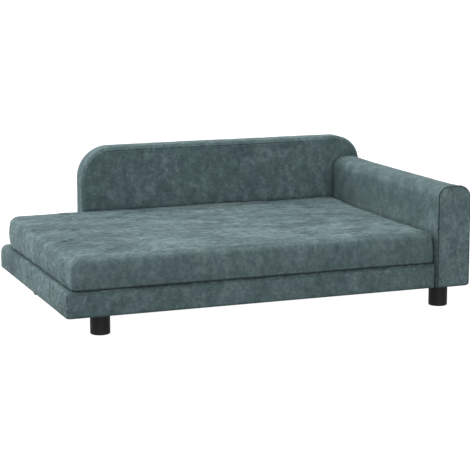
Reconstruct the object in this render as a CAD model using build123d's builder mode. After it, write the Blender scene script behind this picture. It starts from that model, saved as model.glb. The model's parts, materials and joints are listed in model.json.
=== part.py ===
from build123d import *
import os

os.makedirs("parts", exist_ok=True)

# Dog sofa bed: a low upholstered platform on four round feet, with a loose
# rectangular cushion, one arm on the right and a low back board with large
# rounded top corners. Millimetres, +X to the right, +Y to the back, +Z up.
# The origin is on the floor under the middle of the whole object.

# ---- driving dimensions -------------------------------------------------
width = 900.0  # left end of the platform to the outside of the arm
depth = 595.0  # front of the arm to the back of the board
height = 327.0  # floor to the top of the back board

foot_height = 56.0  # floor to the underside of the platform
foot_radius = 20.8
platform_height = 53.0
arm_width = 77.0
arm_top = 277.0
arm_corner = 25.0  # radius of the arm's two top corners
arm_overhang = 5.0  # how far the arm stands in front of the platform
back_thickness = 51.0
back_left_inset = 187.0  # platform's left end to the back board's left end
back_right_inset = 6.5  # arm's outside to the back board's right end
back_corner = 70.0  # radius of the back board's top corners
cushion_left_inset = 13.0
cushion_front_inset = 3.5
cushion_arm_gap = 3.0
cushion_back_gap = 0.5
zip_channel = 8.0  # depth of the fold that the zip lies in
cushion_height = 70.7
platform_corner = 16.0  # radius of the platform's upright corners
platform_edge = 14.0  # radius of the platform's upper edges
cushion_corner = 16.0
cushion_edge = 15.0
left_foot_inset = 93.0  # centre of the front left foot from the left end
rear_left_foot_inset = 78.5  # the same for the rear left foot
right_foot_inset = 34.0  # centre of a right foot from the arm's outside
foot_front_inset = 87.0  # centre of a foot from the platform's front or back
arm_foot_inset = 71.5  # centre of the arm's front foot from the platform's front

# stock
fabric = 1.2  # velvet
lining = 0.7  # black non-woven cloth under the platform
side_foam = 6.0
deck_foam = 10.0
deck_ply = 6.0
rail = 22.0  # width of a pine rail
board = 18.0  # thickness of the leg boards and of the back board
arm_foam = 8.0
arm_inner_ply = 9.0
arm_outer_ply = 5.0
back_front_pad = 20.0

# ---- derived positions --------------------------------------------------
x_left = -width / 2
x_right = width / 2
y_front = -depth / 2  # front of the arm
y_back = depth / 2
x_arm = x_right - arm_width  # inner face of the arm
y_plat = y_front + arm_overhang  # front of the platform
z_under = foot_height
z_deck = z_under + platform_height  # upholstered top of the platform
y_board = y_back - back_thickness  # front of the back board
x_back_left = x_left + back_left_inset
x_back_right = x_right - back_right_inset
x_plat_right = x_arm - 0.3
x_tail = x_arm + 0.3  # the back board's tail behind the arm
y_arm_end = y_board - 0.3

x_foot_left = x_left + left_foot_inset
x_foot_rear_left = x_left + rear_left_foot_inset
x_foot_right = x_right - right_foot_inset
y_foot_front = y_plat + foot_front_inset
y_arm_foot = y_plat + arm_foot_inset
y_foot_back = y_back - foot_front_inset
left_feet = [(x_foot_left, y_foot_front), (x_foot_rear_left, y_foot_back)]
right_feet = [(x_foot_right, y_arm_foot), (x_foot_right, y_foot_back)]

# frame of the platform
xr0 = x_left + fabric + side_foam  # outside of the left rail
xr1 = x_plat_right - fabric - side_foam  # outside of the right rail
yr0 = y_plat + fabric + side_foam
yr1 = y_back - fabric - side_foam
zr0 = z_under + fabric
z_ply1 = z_deck - fabric - deck_foam  # top of the plywood deck
z_ply0 = z_ply1 - deck_ply
rear_rail = 25.0

# frame of the arm
xa0 = x_arm + fabric
xa1 = x_right - fabric
xp0 = xa0 + arm_foam  # outside of the inner ply
xp1 = xa1 - arm_foam  # outside of the outer ply
ya0 = y_front + fabric + arm_foam  # front of the arm's frame
ya1 = y_arm_end - fabric  # rear of the arm's frame
z_arm_board = 250.0  # top of the arm's top board
z_rib1 = z_arm_board - board

# layers of the back board
yb0 = y_board + fabric
yb1 = yb0 + back_front_pad
yb2 = yb1 + board
yb3 = y_back - fabric
back_edge_pad = 8.0

# fasteners
bolt_x = [-200.0, 50.0, 300.0]  # back board to platform
bolt_y = (yb1 + yb2) / 2
arm_bolt = [(413.0, 120.0), (413.0, 205.0)]  # back board to arm, X and Z
plate_y = [-100.0, 100.0]
plate_x0, plate_x1 = 340.0, 416.0
screw_spots = [
    (x, y + dy) for y in plate_y for x in ((xr1 - rail / 2), 400.0) for dy in (-11.0, 11.0)
]
z_lining = z_under - lining  # lowest face of the lining

# cushion
xc0 = x_left + cushion_left_inset
xc1 = x_arm - cushion_arm_gap
yc0 = y_plat + cushion_front_inset
yc1 = y_board - cushion_back_gap
zc0 = z_deck + 0.3
zc1 = zc0 + cushion_height

# zip on the back of the cushion
z_zip = 147.0
zip_x0, zip_x1 = -400.0, 335.0
slider_x = -384.5  # middle of the slider at rest
y_zip = yc1 - zip_channel  # floor of the channel
pin_y = y_zip + 4.3
ch_x0, ch_x1 = zip_x0 - 14.0, zip_x1 + 13.0
ch_z0, ch_z1 = z_zip - 7.0, z_zip + 7.0


# ---- helpers ------------------------------------------------------------
def block(x0, x1, y0, y1, z0, z1, mode=Mode.ADD):
    with Locations((x0, y0, z0)):
        Box(x1 - x0, y1 - y0, z1 - z0, align=(Align.MIN, Align.MIN, Align.MIN), mode=mode)


def upright(x, y, z0, z1, r, mode=Mode.ADD):
    with Locations((x, y, z0)):
        Cylinder(r, z1 - z0, align=(Align.CENTER, Align.CENTER, Align.MIN), mode=mode)


def level(x, z, y0, y1, r, mode=Mode.ADD):
    with Locations(Location((x, y0, z), (-90, 0, 0))):
        Cylinder(r, y1 - y0, align=(Align.CENTER, Align.CENTER, Align.MIN), mode=mode)


def facing(y):
    # upright plane at depth y; an extrusion from it runs towards the front
    return Plane(origin=(0, y, 0), x_dir=(1, 0, 0), z_dir=(0, -1, 0))


def arm_outline(y, inset):
    # section of the arm: a tall rectangle with rounded top corners
    x0, x1 = x_arm + inset, x_right - inset
    z0, z1 = z_under + inset, arm_top - inset
    with BuildSketch(facing(y)) as outline:
        with BuildLine():
            Polyline((x0, z1), (x0, z0), (x1, z0), (x1, z1), close=True)
        make_face()
        fillet(outline.vertices().group_by(Axis.Y)[-1], arm_corner - inset)
        fillet(outline.vertices().group_by(Axis.Y)[0], 5.0 - inset)
    return outline.sketch


def back_outline(y, inset, bottom_inset):
    # the back board from the front: two large top corners, and at the
    # right a tail that runs down behind the arm
    x0, x1 = x_back_left + inset, x_back_right - inset
    z0, z1 = z_deck + bottom_inset, height - inset
    zt, xt = z_under + bottom_inset, x_tail + bottom_inset
    with BuildSketch(facing(y)) as outline:
        with BuildLine():
            Polyline((x0, z1), (x0, z0), (xt, z0), (xt, zt), (x1, zt), (x1, z1), close=True)
        make_face()
        fillet(outline.vertices().group_by(Axis.Y)[-1], back_corner - inset)
    return outline.sketch


# ---- whole volumes that the covers and foams are cut from ---------------
with BuildPart() as platform_outer:
    with BuildSketch(Plane.XY.offset(z_under)):
        with Locations(((x_left + x_plat_right) / 2, (y_plat + y_back) / 2)):
            RectangleRounded(x_plat_right - x_left, y_back - y_plat, platform_corner)
    extrude(amount=platform_height)
    fillet(platform_outer.edges().group_by(Axis.Z)[-1], platform_edge)
    fillet(platform_outer.edges().group_by(Axis.Z)[0], 2)

with BuildPart() as platform_inner:
    with BuildSketch(Plane.XY.offset(z_under + fabric)):
        with Locations(((x_left + x_plat_right) / 2, (y_plat + y_back) / 2)):
            RectangleRounded(
                x_plat_right - x_left - 2 * fabric,
                y_back - y_plat - 2 * fabric,
                platform_corner - fabric,
            )
    extrude(amount=platform_height - 2 * fabric)
    fillet(platform_inner.edges().group_by(Axis.Z)[-1], platform_edge - fabric)
    fillet(platform_inner.edges().group_by(Axis.Z)[0], 2 - fabric)

with BuildPart() as cushion_outer:
    with BuildSketch(Plane.XY.offset(zc0)):
        with Locations(((xc0 + xc1) / 2, (yc0 + yc1) / 2)):
            RectangleRounded(xc1 - xc0, yc1 - yc0, cushion_corner)
    extrude(amount=zc1 - zc0)
    fillet(cushion_outer.edges().group_by(Axis.Z)[-1], cushion_edge)
    fillet(cushion_outer.edges().group_by(Axis.Z)[0], 8)
    block(ch_x0, ch_x1, y_zip, yc1 + 1, ch_z0, ch_z1, Mode.SUBTRACT)

with BuildPart() as cushion_inner:
    with BuildSketch(Plane.XY.offset(zc0 + fabric)):
        with Locations(((xc0 + xc1) / 2, (yc0 + yc1) / 2)):
            RectangleRounded(
                xc1 - xc0 - 2 * fabric, yc1 - yc0 - 2 * fabric, cushion_corner - fabric
            )
    extrude(amount=zc1 - zc0 - 2 * fabric)
    fillet(cushion_inner.edges().group_by(Axis.Z)[-1], cushion_edge - fabric)
    fillet(cushion_inner.edges().group_by(Axis.Z)[0], 8 - fabric)
    block(
        ch_x0 - fabric, ch_x1 + fabric, y_zip - fabric, yc1 + 1,
        ch_z0 - fabric, ch_z1 + fabric, Mode.SUBTRACT,
    )

# ---- platform frame -----------------------------------------------------
with BuildPart() as base_front_rail:
    block(xr0, xr1, yr0, yr0 + rail, zr0, z_ply0)
base_front_rail.part.label = "base_front_rail"
export_step(base_front_rail.part, "parts/base_front_rail.step")

with BuildPart() as base_rear_rail:
    block(xr0, xr1, yr1 - rear_rail, yr1, zr0, z_ply0)
    for x in bolt_x:
        upright(x, bolt_y, zr0 - 1, z_ply0 + 1, 3.3, Mode.SUBTRACT)
base_rear_rail.part.label = "base_rear_rail"
export_step(base_rear_rail.part, "parts/base_rear_rail.step")

with BuildPart() as base_left_rail:
    block(xr0, xr0 + rail, yr0 + rail, yr1 - rear_rail, zr0, z_ply0)
base_left_rail.part.label = "base_left_rail"
export_step(base_left_rail.part, "parts/base_left_rail.step")

with BuildPart() as base_right_rail:
    block(xr1 - rail, xr1, yr0 + rail, yr1 - rear_rail, zr0, z_ply0)
    for x, y in screw_spots:
        if x < x_arm:
            upright(x, y, zr0 - 1, 73.0, 2.1, Mode.SUBTRACT)
base_right_rail.part.label = "base_right_rail"
export_step(base_right_rail.part, "parts/base_right_rail.step")

# two slats between the front and the rear rail carry the middle of the deck
with BuildPart() as base_cross_rails:
    for x in (-150.0, 110.0):
        block(x - rail / 2, x + rail / 2, yr0 + rail, yr1 - rear_rail, zr0, z_ply0)
base_cross_rails.part.label = "base_cross_rails"
export_step(base_cross_rails.part, "parts/base_cross_rails.step")

# flat board that the two left feet are screwed to
with BuildPart() as base_foot_board:
    block(x_foot_left - 45, x_foot_left + 45, yr0 + rail, yr1 - rear_rail, zr0, zr0 + board)
    for x, y in left_feet:
        upright(x, y, zr0 - 1, zr0 + board + 1, 4.3, Mode.SUBTRACT)
        upright(x, y, zr0 + board - 12.2, zr0 + board + 1, 5.15, Mode.SUBTRACT)
base_foot_board.part.label = "base_foot_board"
export_step(base_foot_board.part, "parts/base_foot_board.step")

with BuildPart() as base_deck_panel:
    block(xr0, xr1, yr0, yr1, z_ply0, z_ply1)
    for x in bolt_x:
        upright(x, bolt_y, z_ply0 - 1, z_ply1 + 1, 3.3, Mode.SUBTRACT)
base_deck_panel.part.label = "base_deck_panel"
export_step(base_deck_panel.part, "parts/base_deck_panel.step")

# ---- platform upholstery ------------------------------------------------
with BuildPart() as base_deck_foam:
    add(platform_inner.part)
    block(x_left - 5, x_right, y_plat - 5, y_back + 5, z_ply1, z_deck + 5, Mode.INTERSECT)
    for x in bolt_x:
        upright(x, bolt_y, z_ply1 - 1, z_deck + 1, 3.3, Mode.SUBTRACT)
base_deck_foam.part.label = "base_deck_foam"
export_step(base_deck_foam.part, "parts/base_deck_foam.step")

with BuildPart() as base_front_padding:
    add(platform_inner.part)
    block(x_left - 5, x_right, y_plat - 5, yr0, zr0 - 1, z_ply1, Mode.INTERSECT)
base_front_padding.part.label = "base_front_padding"
export_step(base_front_padding.part, "parts/base_front_padding.step")

with BuildPart() as base_rear_padding:
    add(platform_inner.part)
    block(x_left - 5, x_right, yr1, y_back + 5, zr0 - 1, z_ply1, Mode.INTERSECT)
base_rear_padding.part.label = "base_rear_padding"
export_step(base_rear_padding.part, "parts/base_rear_padding.step")

with BuildPart() as base_left_padding:
    add(platform_inner.part)
    block(x_left - 5, xr0, yr0, yr1, zr0 - 1, z_ply1, Mode.INTERSECT)
base_left_padding.part.label = "base_left_padding"
export_step(base_left_padding.part, "parts/base_left_padding.step")

with BuildPart() as base_right_padding:
    add(platform_inner.part)
    block(xr1, x_right, yr0, yr1, zr0 - 1, z_ply1, Mode.INTERSECT)
base_right_padding.part.label = "base_right_padding"
export_step(base_right_padding.part, "parts/base_right_padding.step")

# the velvet is turned under the rails and stapled there
with BuildPart() as base_cover:
    add(platform_outer.part)
    add(platform_inner.part, mode=Mode.SUBTRACT)
    block(
        x_left + 28, x_plat_right - 28, y_plat + 28, y_back - 28, z_under - 1, zr0 + 0.5,
        Mode.SUBTRACT,
    )
    for x in bolt_x:
        upright(x, bolt_y, z_under - 1, z_deck + 1, 3.3, Mode.SUBTRACT)
    for x, y in screw_spots:
        if x < x_arm:
            upright(x, y, z_under - 1, zr0 + 0.5, 2.1, Mode.SUBTRACT)
base_cover.part.label = "base_cover"
export_step(base_cover.part, "parts/base_cover.step")

with BuildPart() as base_lining:
    block(x_left + 10, x_plat_right - 10, y_plat + 10, y_back - 10, z_lining, z_under)
    for x, y in left_feet:
        upright(x, y, z_lining - 1, z_under + 1, 4.3, Mode.SUBTRACT)
    for x in bolt_x:
        upright(x, bolt_y, z_lining - 1, z_under + 1, 3.3, Mode.SUBTRACT)
    for x, y in screw_spots:
        if x < x_arm:
            upright(x, y, z_lining - 1, z_under + 1, 2.1, Mode.SUBTRACT)
base_lining.part.label = "base_lining"
export_step(base_lining.part, "parts/base_lining.step")

# ---- feet ---------------------------------------------------------------
def foot(x, y):
    # moulded cylinder, open at the top, with a boss for the stud and a
    # shallow seat for the pad under it
    with BuildSketch(Plane(origin=(x, y, 0), x_dir=(1, 0, 0), z_dir=(0, -1, 0))) as section:
        with BuildLine():
            Polyline(
                (0, 2.0), (15.2, 2.0), (15.2, 0.8), (foot_radius, 0.8),
                (foot_radius, z_lining), (foot_radius - 3, z_lining),
                (foot_radius - 3, 6.0), (9.0, 6.0), (9.0, z_lining),
                (4.15, z_lining), (4.15, 25.5), (0, 25.5), close=True,
            )
        make_face()
        outer = section.vertices().group_by(Axis.X)[-1].sort_by(Axis.Y)
        fillet(outer[0], 2.2)
        fillet(section.vertices().group_by(Axis.X)[-1].sort_by(Axis.Y)[-1], 0.8)
    revolve(section.sketch, axis=Axis((x, y, 0), (0, 0, 1)))


with BuildPart() as foot_front_left:
    foot(x_foot_left, y_foot_front)
foot_front_left.part.label = "foot_front_left"
export_step(foot_front_left.part, "parts/foot_front_left.step")

with BuildPart() as foot_rear_left:
    foot(x_foot_rear_left, y_foot_back)
foot_rear_left.part.label = "foot_rear_left"
export_step(foot_rear_left.part, "parts/foot_rear_left.step")

with BuildPart() as foot_front_right:
    foot(x_foot_right, y_arm_foot)
foot_front_right.part.label = "foot_front_right"
export_step(foot_front_right.part, "parts/foot_front_right.step")

with BuildPart() as foot_rear_right:
    foot(x_foot_right, y_foot_back)
foot_rear_right.part.label = "foot_rear_right"
export_step(foot_rear_right.part, "parts/foot_rear_right.step")

with BuildPart() as foot_pads:
    for x, y in left_feet + right_feet:
        upright(x, y, 0, 2.0, 15.0)
foot_pads.part.label = "foot_pads"
export_step(foot_pads.part, "parts/foot_pads.step")

with BuildPart() as foot_studs:
    for x, y in left_feet + right_feet:
        upright(x, y, 26.0, zr0 + board + 3.0, 4.0)
foot_studs.part.label = "foot_studs"
export_step(foot_studs.part, "parts/foot_studs.step")

with BuildPart() as foot_tee_nuts:
    for x, y in left_feet + right_feet:
        upright(x, y, zr0 + board, zr0 + board + 1.5, 10.0)
        upright(x, y, zr0 + board - 12.0, zr0 + board, 5.0)
    for x, y in left_feet + right_feet:
        upright(x, y, zr0, zr0 + board + 3, 4.1, Mode.SUBTRACT)
foot_tee_nuts.part.label = "foot_tee_nuts"
export_step(foot_tee_nuts.part, "parts/foot_tee_nuts.step")

# ---- arm frame ----------------------------------------------------------
with BuildPart() as arm_bottom_board:
    block(xp0, xp1, ya0, ya1, zr0, zr0 + board)
    for x, y in right_feet:
        upright(x, y, zr0 - 1, zr0 + board + 1, 4.3, Mode.SUBTRACT)
        upright(x, y, zr0 + board - 12.2, zr0 + board + 1, 5.15, Mode.SUBTRACT)
    for x, y in screw_spots:
        if x > x_arm:
            upright(x, y, zr0 - 1, 73.0, 2.1, Mode.SUBTRACT)
arm_bottom_board.part.label = "arm_bottom_board"
export_step(arm_bottom_board.part, "parts/arm_bottom_board.step")

with BuildPart() as arm_inner_panel:
    block(xp0, xp0 + arm_inner_ply, ya0, ya1, zr0 + board, z_rib1)
arm_inner_panel.part.label = "arm_inner_panel"
export_step(arm_inner_panel.part, "parts/arm_inner_panel.step")

with BuildPart() as arm_outer_panel:
    block(xp1 - arm_outer_ply, xp1, ya0, ya1, zr0 + board, z_rib1)
arm_outer_panel.part.label = "arm_outer_panel"
export_step(arm_outer_panel.part, "parts/arm_outer_panel.step")

with BuildPart() as arm_front_rib:
    block(xp0 + arm_inner_ply, xp1 - arm_outer_ply, ya0, ya0 + rail, zr0 + board, z_rib1)
arm_front_rib.part.label = "arm_front_rib"
export_step(arm_front_rib.part, "parts/arm_front_rib.step")

with BuildPart() as arm_middle_rib:
    block(xp0 + arm_inner_ply, xp1 - arm_outer_ply, -32.0, -32.0 + rail, zr0 + board, z_rib1)
arm_middle_rib.part.label = "arm_middle_rib"
export_step(arm_middle_rib.part, "parts/arm_middle_rib.step")

with BuildPart() as arm_rear_rib:
    block(xp0 + arm_inner_ply, xp1 - arm_outer_ply, ya1 - rail, ya1, zr0 + board, z_rib1)
    for x, z in arm_bolt:
        level(x, z, ya1 - 15.0, ya1 + 1, 4.6, Mode.SUBTRACT)
arm_rear_rib.part.label = "arm_rear_rib"
export_step(arm_rear_rib.part, "parts/arm_rear_rib.step")

with BuildPart() as arm_top_board:
    block(xp0, xp1, ya0, ya1, z_rib1, z_arm_board)
arm_top_board.part.label = "arm_top_board"
export_step(arm_top_board.part, "parts/arm_top_board.step")

# ---- arm upholstery -----------------------------------------------------
with BuildPart() as arm_inner_foam:
    extrude(arm_outline(ya1, fabric), amount=ya1 - ya0)
    block(x_arm - 1, xp0, ya0, ya1, z_under, z_arm_board, Mode.INTERSECT)
arm_inner_foam.part.label = "arm_inner_foam"
export_step(arm_inner_foam.part, "parts/arm_inner_foam.step")

with BuildPart() as arm_outer_foam:
    extrude(arm_outline(ya1, fabric), amount=ya1 - ya0)
    block(xp1, x_right + 1, ya0, ya1, z_under, z_arm_board, Mode.INTERSECT)
arm_outer_foam.part.label = "arm_outer_foam"
export_step(arm_outer_foam.part, "parts/arm_outer_foam.step")

with BuildPart() as arm_top_foam:
    extrude(arm_outline(ya1, fabric), amount=ya1 - ya0)
    block(x_arm - 1, x_right + 1, ya0, ya1, z_arm_board, arm_top + 1, Mode.INTERSECT)
arm_top_foam.part.label = "arm_top_foam"
export_step(arm_top_foam.part, "parts/arm_top_foam.step")

with BuildPart() as arm_front_foam:
    extrude(arm_outline(ya0, fabric), amount=arm_foam)
    fillet(arm_front_foam.edges().group_by(Axis.Y)[0], 3.0)
arm_front_foam.part.label = "arm_front_foam"
export_step(arm_front_foam.part, "parts/arm_front_foam.step")

# one length of velvet goes over the arm and is turned under and in at the
# back; a separate shaped facing is sewn to its front edge
with BuildPart() as arm_cover:
    extrude(arm_outline(y_arm_end, 0), amount=y_arm_end - y_front - fabric)
    extrude(arm_outline(ya1, fabric), amount=ya1 - y_front + 1, mode=Mode.SUBTRACT)
    block(xp0 + 10, xp1 - 10, ya1 - 1, y_arm_end + 1, z_under + 22, z_arm_board - 5, Mode.SUBTRACT)
    block(x_arm + 22, x_right - 22, y_front + 22, ya1 - 22, z_under - 1, zr0 + 0.5, Mode.SUBTRACT)
    for x, y in screw_spots:
        if x > x_arm:
            upright(x, y, z_under - 1, zr0 + 0.5, 2.1, Mode.SUBTRACT)
    for x, y in right_feet:
        upright(x, y, z_under - 1, zr0 + 0.5, 4.3, Mode.SUBTRACT)
arm_cover.part.label = "arm_cover"
export_step(arm_cover.part, "parts/arm_cover.step")

with BuildPart() as arm_front_facing:
    extrude(arm_outline(y_front + fabric, 0), amount=fabric)
arm_front_facing.part.label = "arm_front_facing"
export_step(arm_front_facing.part, "parts/arm_front_facing.step")

with BuildPart() as arm_lining:
    block(x_arm + 7, x_right - 7, y_front + 10, y_arm_end - 10, z_lining, z_under)
    for x, y in right_feet:
        upright(x, y, z_lining - 1, z_under + 1, 4.3, Mode.SUBTRACT)
    for x, y in screw_spots:
        if x > x_arm:
            upright(x, y, z_lining - 1, z_under + 1, 2.1, Mode.SUBTRACT)
arm_lining.part.label = "arm_lining"
export_step(arm_lining.part, "parts/arm_lining.step")

# ---- back board ---------------------------------------------------------
with BuildPart() as back_core_board:
    extrude(back_outline(yb2, fabric + back_edge_pad, fabric), amount=board)
    for x in bolt_x:
        upright(x, bolt_y, z_deck, z_deck + fabric + 16.0, 4.6, Mode.SUBTRACT)
    for x, z in arm_bolt:
        level(x, z, yb1 - 1, yb2 + 1, 3.3, Mode.SUBTRACT)
back_core_board.part.label = "back_core_board"
export_step(back_core_board.part, "parts/back_core_board.step")

with BuildPart() as back_edge_padding:
    extrude(back_outline(yb2, fabric, fabric), amount=board)
    extrude(back_outline(yb2 + 1, fabric + back_edge_pad, fabric), amount=board + 2, mode=Mode.SUBTRACT)
back_edge_padding.part.label = "back_edge_padding"
export_step(back_edge_padding.part, "parts/back_edge_padding.step")

with BuildPart() as back_front_foam:
    extrude(back_outline(yb1, fabric, fabric), amount=back_front_pad)
    fillet(back_front_foam.edges().group_by(Axis.Y)[0], 8.0)
    for x, z in arm_bolt:
        level(x, z, yb0 - 1, yb1 + 1, 3.3, Mode.SUBTRACT)
back_front_foam.part.label = "back_front_foam"
export_step(back_front_foam.part, "parts/back_front_foam.step")

with BuildPart() as back_rear_foam:
    extrude(back_outline(yb3, fabric, fabric), amount=yb3 - yb2)
    fillet(back_rear_foam.edges().group_by(Axis.Y)[-1], 6.0)
    for x, z in arm_bolt:
        level(x, z, yb2 - 1, yb3 + 1, 10.0, Mode.SUBTRACT)
back_rear_foam.part.label = "back_rear_foam"
export_step(back_rear_foam.part, "parts/back_rear_foam.step")

# velvet: a front panel, a border strip all round the edge and a rear panel
with BuildPart() as back_front_cover:
    extrude(back_outline(yb0, 0, 0), amount=fabric)
    for x, z in arm_bolt:
        level(x, z, y_board - 1, yb0 + 1, 3.3, Mode.SUBTRACT)
back_front_cover.part.label = "back_front_cover"
export_step(back_front_cover.part, "parts/back_front_cover.step")

with BuildPart() as back_border_cover:
    extrude(back_outline(yb3, 0, 0), amount=yb3 - yb0)
    extrude(back_outline(yb3 + 1, fabric, fabric), amount=yb3 - yb0 + 2, mode=Mode.SUBTRACT)
    for x in bolt_x:
        upright(x, bolt_y, z_deck - 1, z_deck + fabric + 1, 3.3, Mode.SUBTRACT)
back_border_cover.part.label = "back_border_cover"
export_step(back_border_cover.part, "parts/back_border_cover.step")

with BuildPart() as back_rear_cover:
    extrude(back_outline(y_back, 0, 0), amount=fabric)
    for x, z in arm_bolt:
        level(x, z, yb3 - 1, y_back + 1, 10.0, Mode.SUBTRACT)
back_rear_cover.part.label = "back_rear_cover"
export_step(back_rear_cover.part, "parts/back_rear_cover.step")

# ---- fasteners ----------------------------------------------------------
# long bolts from under the platform into the back board's lower edge
with BuildPart() as back_bolts:
    for x in bolt_x:
        upright(x, bolt_y, z_lining - 4.7, z_lining - 1.2, 5.5)
        upright(x, bolt_y, z_lining - 1.2, z_deck + 15.0, 3.0)
    for x in bolt_x:
        with BuildSketch(Plane(origin=(x, bolt_y, z_lining - 4.7))):
            RegularPolygon(2.3, 6)
    extrude(amount=2.2, mode=Mode.SUBTRACT)
back_bolts.part.label = "back_bolts"
export_step(back_bolts.part, "parts/back_bolts.step")

with BuildPart() as back_bolt_washers:
    for x in bolt_x:
        upright(x, bolt_y, z_lining - 1.2, z_lining, 9.0)
    for x in bolt_x:
        upright(x, bolt_y, z_lining - 2, z_lining + 1, 3.2, Mode.SUBTRACT)
back_bolt_washers.part.label = "back_bolt_washers"
export_step(back_bolt_washers.part, "parts/back_bolt_washers.step")

with BuildPart() as back_insert_nuts:
    for x in bolt_x:
        upright(x, bolt_y, z_deck + fabric, z_deck + fabric + 14.0, 4.5)
    for x in bolt_x:
        upright(x, bolt_y, z_deck, z_deck + 20.0, 3.1, Mode.SUBTRACT)
back_insert_nuts.part.label = "back_insert_nuts"
export_step(back_insert_nuts.part, "parts/back_insert_nuts.step")

# bolts through the back board's tail into the arm's rear rib, their heads
# sunk in round access holes in the rear padding
with BuildPart() as arm_bolts:
    for x, z in arm_bolt:
        level(x, z, yb2 + 1.2, yb2 + 4.7, 5.5)
        level(x, z, ya1 - 13.5, yb2 + 1.2, 3.0)
    for x, z in arm_bolt:
        with BuildSketch(Plane(origin=(x, yb2 + 4.7, z), x_dir=(1, 0, 0), z_dir=(0, -1, 0))):
            RegularPolygon(2.3, 6)
    extrude(amount=2.2, mode=Mode.SUBTRACT)
arm_bolts.part.label = "arm_bolts"
export_step(arm_bolts.part, "parts/arm_bolts.step")

with BuildPart() as arm_bolt_washers:
    for x, z in arm_bolt:
        level(x, z, yb2, yb2 + 1.2, 8.0)
    for x, z in arm_bolt:
        level(x, z, yb2 - 1, yb2 + 2, 3.2, Mode.SUBTRACT)
arm_bolt_washers.part.label = "arm_bolt_washers"
export_step(arm_bolt_washers.part, "parts/arm_bolt_washers.step")

with BuildPart() as arm_insert_nuts:
    for x, z in arm_bolt:
        level(x, z, ya1 - 14.0, ya1, 4.5)
    for x, z in arm_bolt:
        level(x, z, ya1 - 16.0, ya1 + 1, 3.1, Mode.SUBTRACT)
arm_insert_nuts.part.label = "arm_insert_nuts"
export_step(arm_insert_nuts.part, "parts/arm_insert_nuts.step")

# flat steel plates under the joint of platform and arm
with BuildPart() as joining_plates:
    for y in plate_y:
        with BuildSketch(Plane.XY.offset(z_lining - 2.5)):
            with Locations(((plate_x0 + plate_x1) / 2, y)):
                RectangleRounded(plate_x1 - plate_x0, 38.0, 4)
    extrude(amount=2.5)
    for x, y in screw_spots:
        upright(x, y, z_lining - 3, z_lining + 1, 2.2, Mode.SUBTRACT)
joining_plates.part.label = "joining_plates"
export_step(joining_plates.part, "parts/joining_plates.step")

with BuildPart() as joining_screws:
    for x, y in screw_spots:
        upright(x, y, z_lining - 4.5, z_lining - 2.5, 4.0)
        upright(x, y, z_lining - 2.5, 72.0, 2.0)
    for x, y in screw_spots:
        with Locations((x, y, z_lining - 4.0)):
            Box(4.4, 0.9, 1.2, mode=Mode.SUBTRACT)
            Box(0.9, 4.4, 1.2, mode=Mode.SUBTRACT)
joining_screws.part.label = "joining_screws"
export_step(joining_screws.part, "parts/joining_screws.step")

# crowns of the staples that hold the lining
staple_rows = [(x, y_plat + 16) for x in range(-390, 330, 80)]
staple_rows += [(x, y_back - 16) for x in range(-390, 330, 80)]
staple_columns = [(x_left + 16, y) for y in (-250, -170, -50, 50, 170, 250)]
staple_columns += [(x_plat_right - 16, y) for y in (-250, -170, -50, 50, 170, 250)]
staple_columns += [(x_arm + 12, y) for y in (-250, -170, -50, 50, 170)]
staple_columns += [(x_right - 12, y) for y in (-250, -170, -50, 50, 170)]
with BuildPart() as lining_staples:
    for x, y in staple_rows:
        block(x - 5, x + 5, y - 0.5, y + 0.5, z_lining - 0.5, z_lining)
    for x, y in staple_columns:
        block(x - 0.5, x + 0.5, y - 5, y + 5, z_lining - 0.5, z_lining)
lining_staples.part.label = "lining_staples"
export_step(lining_staples.part, "parts/lining_staples.step")

# ---- loose cushion ------------------------------------------------------
seam_low = zc0 + 10.0

with BuildPart() as cushion_foam:
    add(cushion_inner.part)
    block(
        zip_x0 - 4, zip_x1 + 4, y_zip - fabric - 2, y_zip - fabric, z_zip - 9, z_zip + 9, Mode.SUBTRACT
    )
cushion_foam.part.label = "cushion_foam"
export_step(cushion_foam.part, "parts/cushion_foam.step")

# the top and the four sides are one piece of velvet with a seam up each
# corner; the bottom panel is sewn to it, and the zip lies in a folded-in
# channel along its back
with BuildPart() as cushion_cover:
    add(cushion_outer.part)
    add(cushion_inner.part, mode=Mode.SUBTRACT)
    block(xc0 - 5, xc1 + 5, yc0 - 5, yc1 + 5, seam_low, zc1 + 5, Mode.INTERSECT)
    block(
        zip_x0 - 1, zip_x1 + 1, y_zip - fabric - 1, y_zip + 1, z_zip - 4.5, z_zip + 4.5, Mode.SUBTRACT
    )
cushion_cover.part.label = "cushion_cover"
export_step(cushion_cover.part, "parts/cushion_cover.step")

with BuildPart() as cushion_bottom_panel:
    add(cushion_outer.part)
    add(cushion_inner.part, mode=Mode.SUBTRACT)
    block(xc0 - 5, xc1 + 5, yc0 - 5, yc1 + 5, zc0 - 5, seam_low, Mode.INTERSECT)
cushion_bottom_panel.part.label = "cushion_bottom_panel"
export_step(cushion_bottom_panel.part, "parts/cushion_bottom_panel.step")

# ---- zip ----------------------------------------------------------------
y_tape = y_zip - fabric  # outer face of the zip tapes
with BuildPart() as zip_tapes:
    block(zip_x0 - 3, zip_x1 + 3, y_tape - 0.8, y_tape, z_zip + 0.2, z_zip + 8.5)
    block(zip_x0 - 3, zip_x1 + 3, y_tape - 0.8, y_tape, z_zip - 8.5, z_zip - 0.2)
zip_tapes.part.label = "zip_tapes"
export_step(zip_tapes.part, "parts/zip_tapes.step")

with BuildPart() as zip_coil:
    block(zip_x0 + 3, zip_x1 - 3, y_tape, y_tape + 1.8, z_zip - 2.4, z_zip + 2.4)
    fillet(zip_coil.edges().filter_by(Axis.X).group_by(Axis.Y)[-1], 0.7)
zip_coil.part.label = "zip_coil"
export_step(zip_coil.part, "parts/zip_coil.step")

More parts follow.
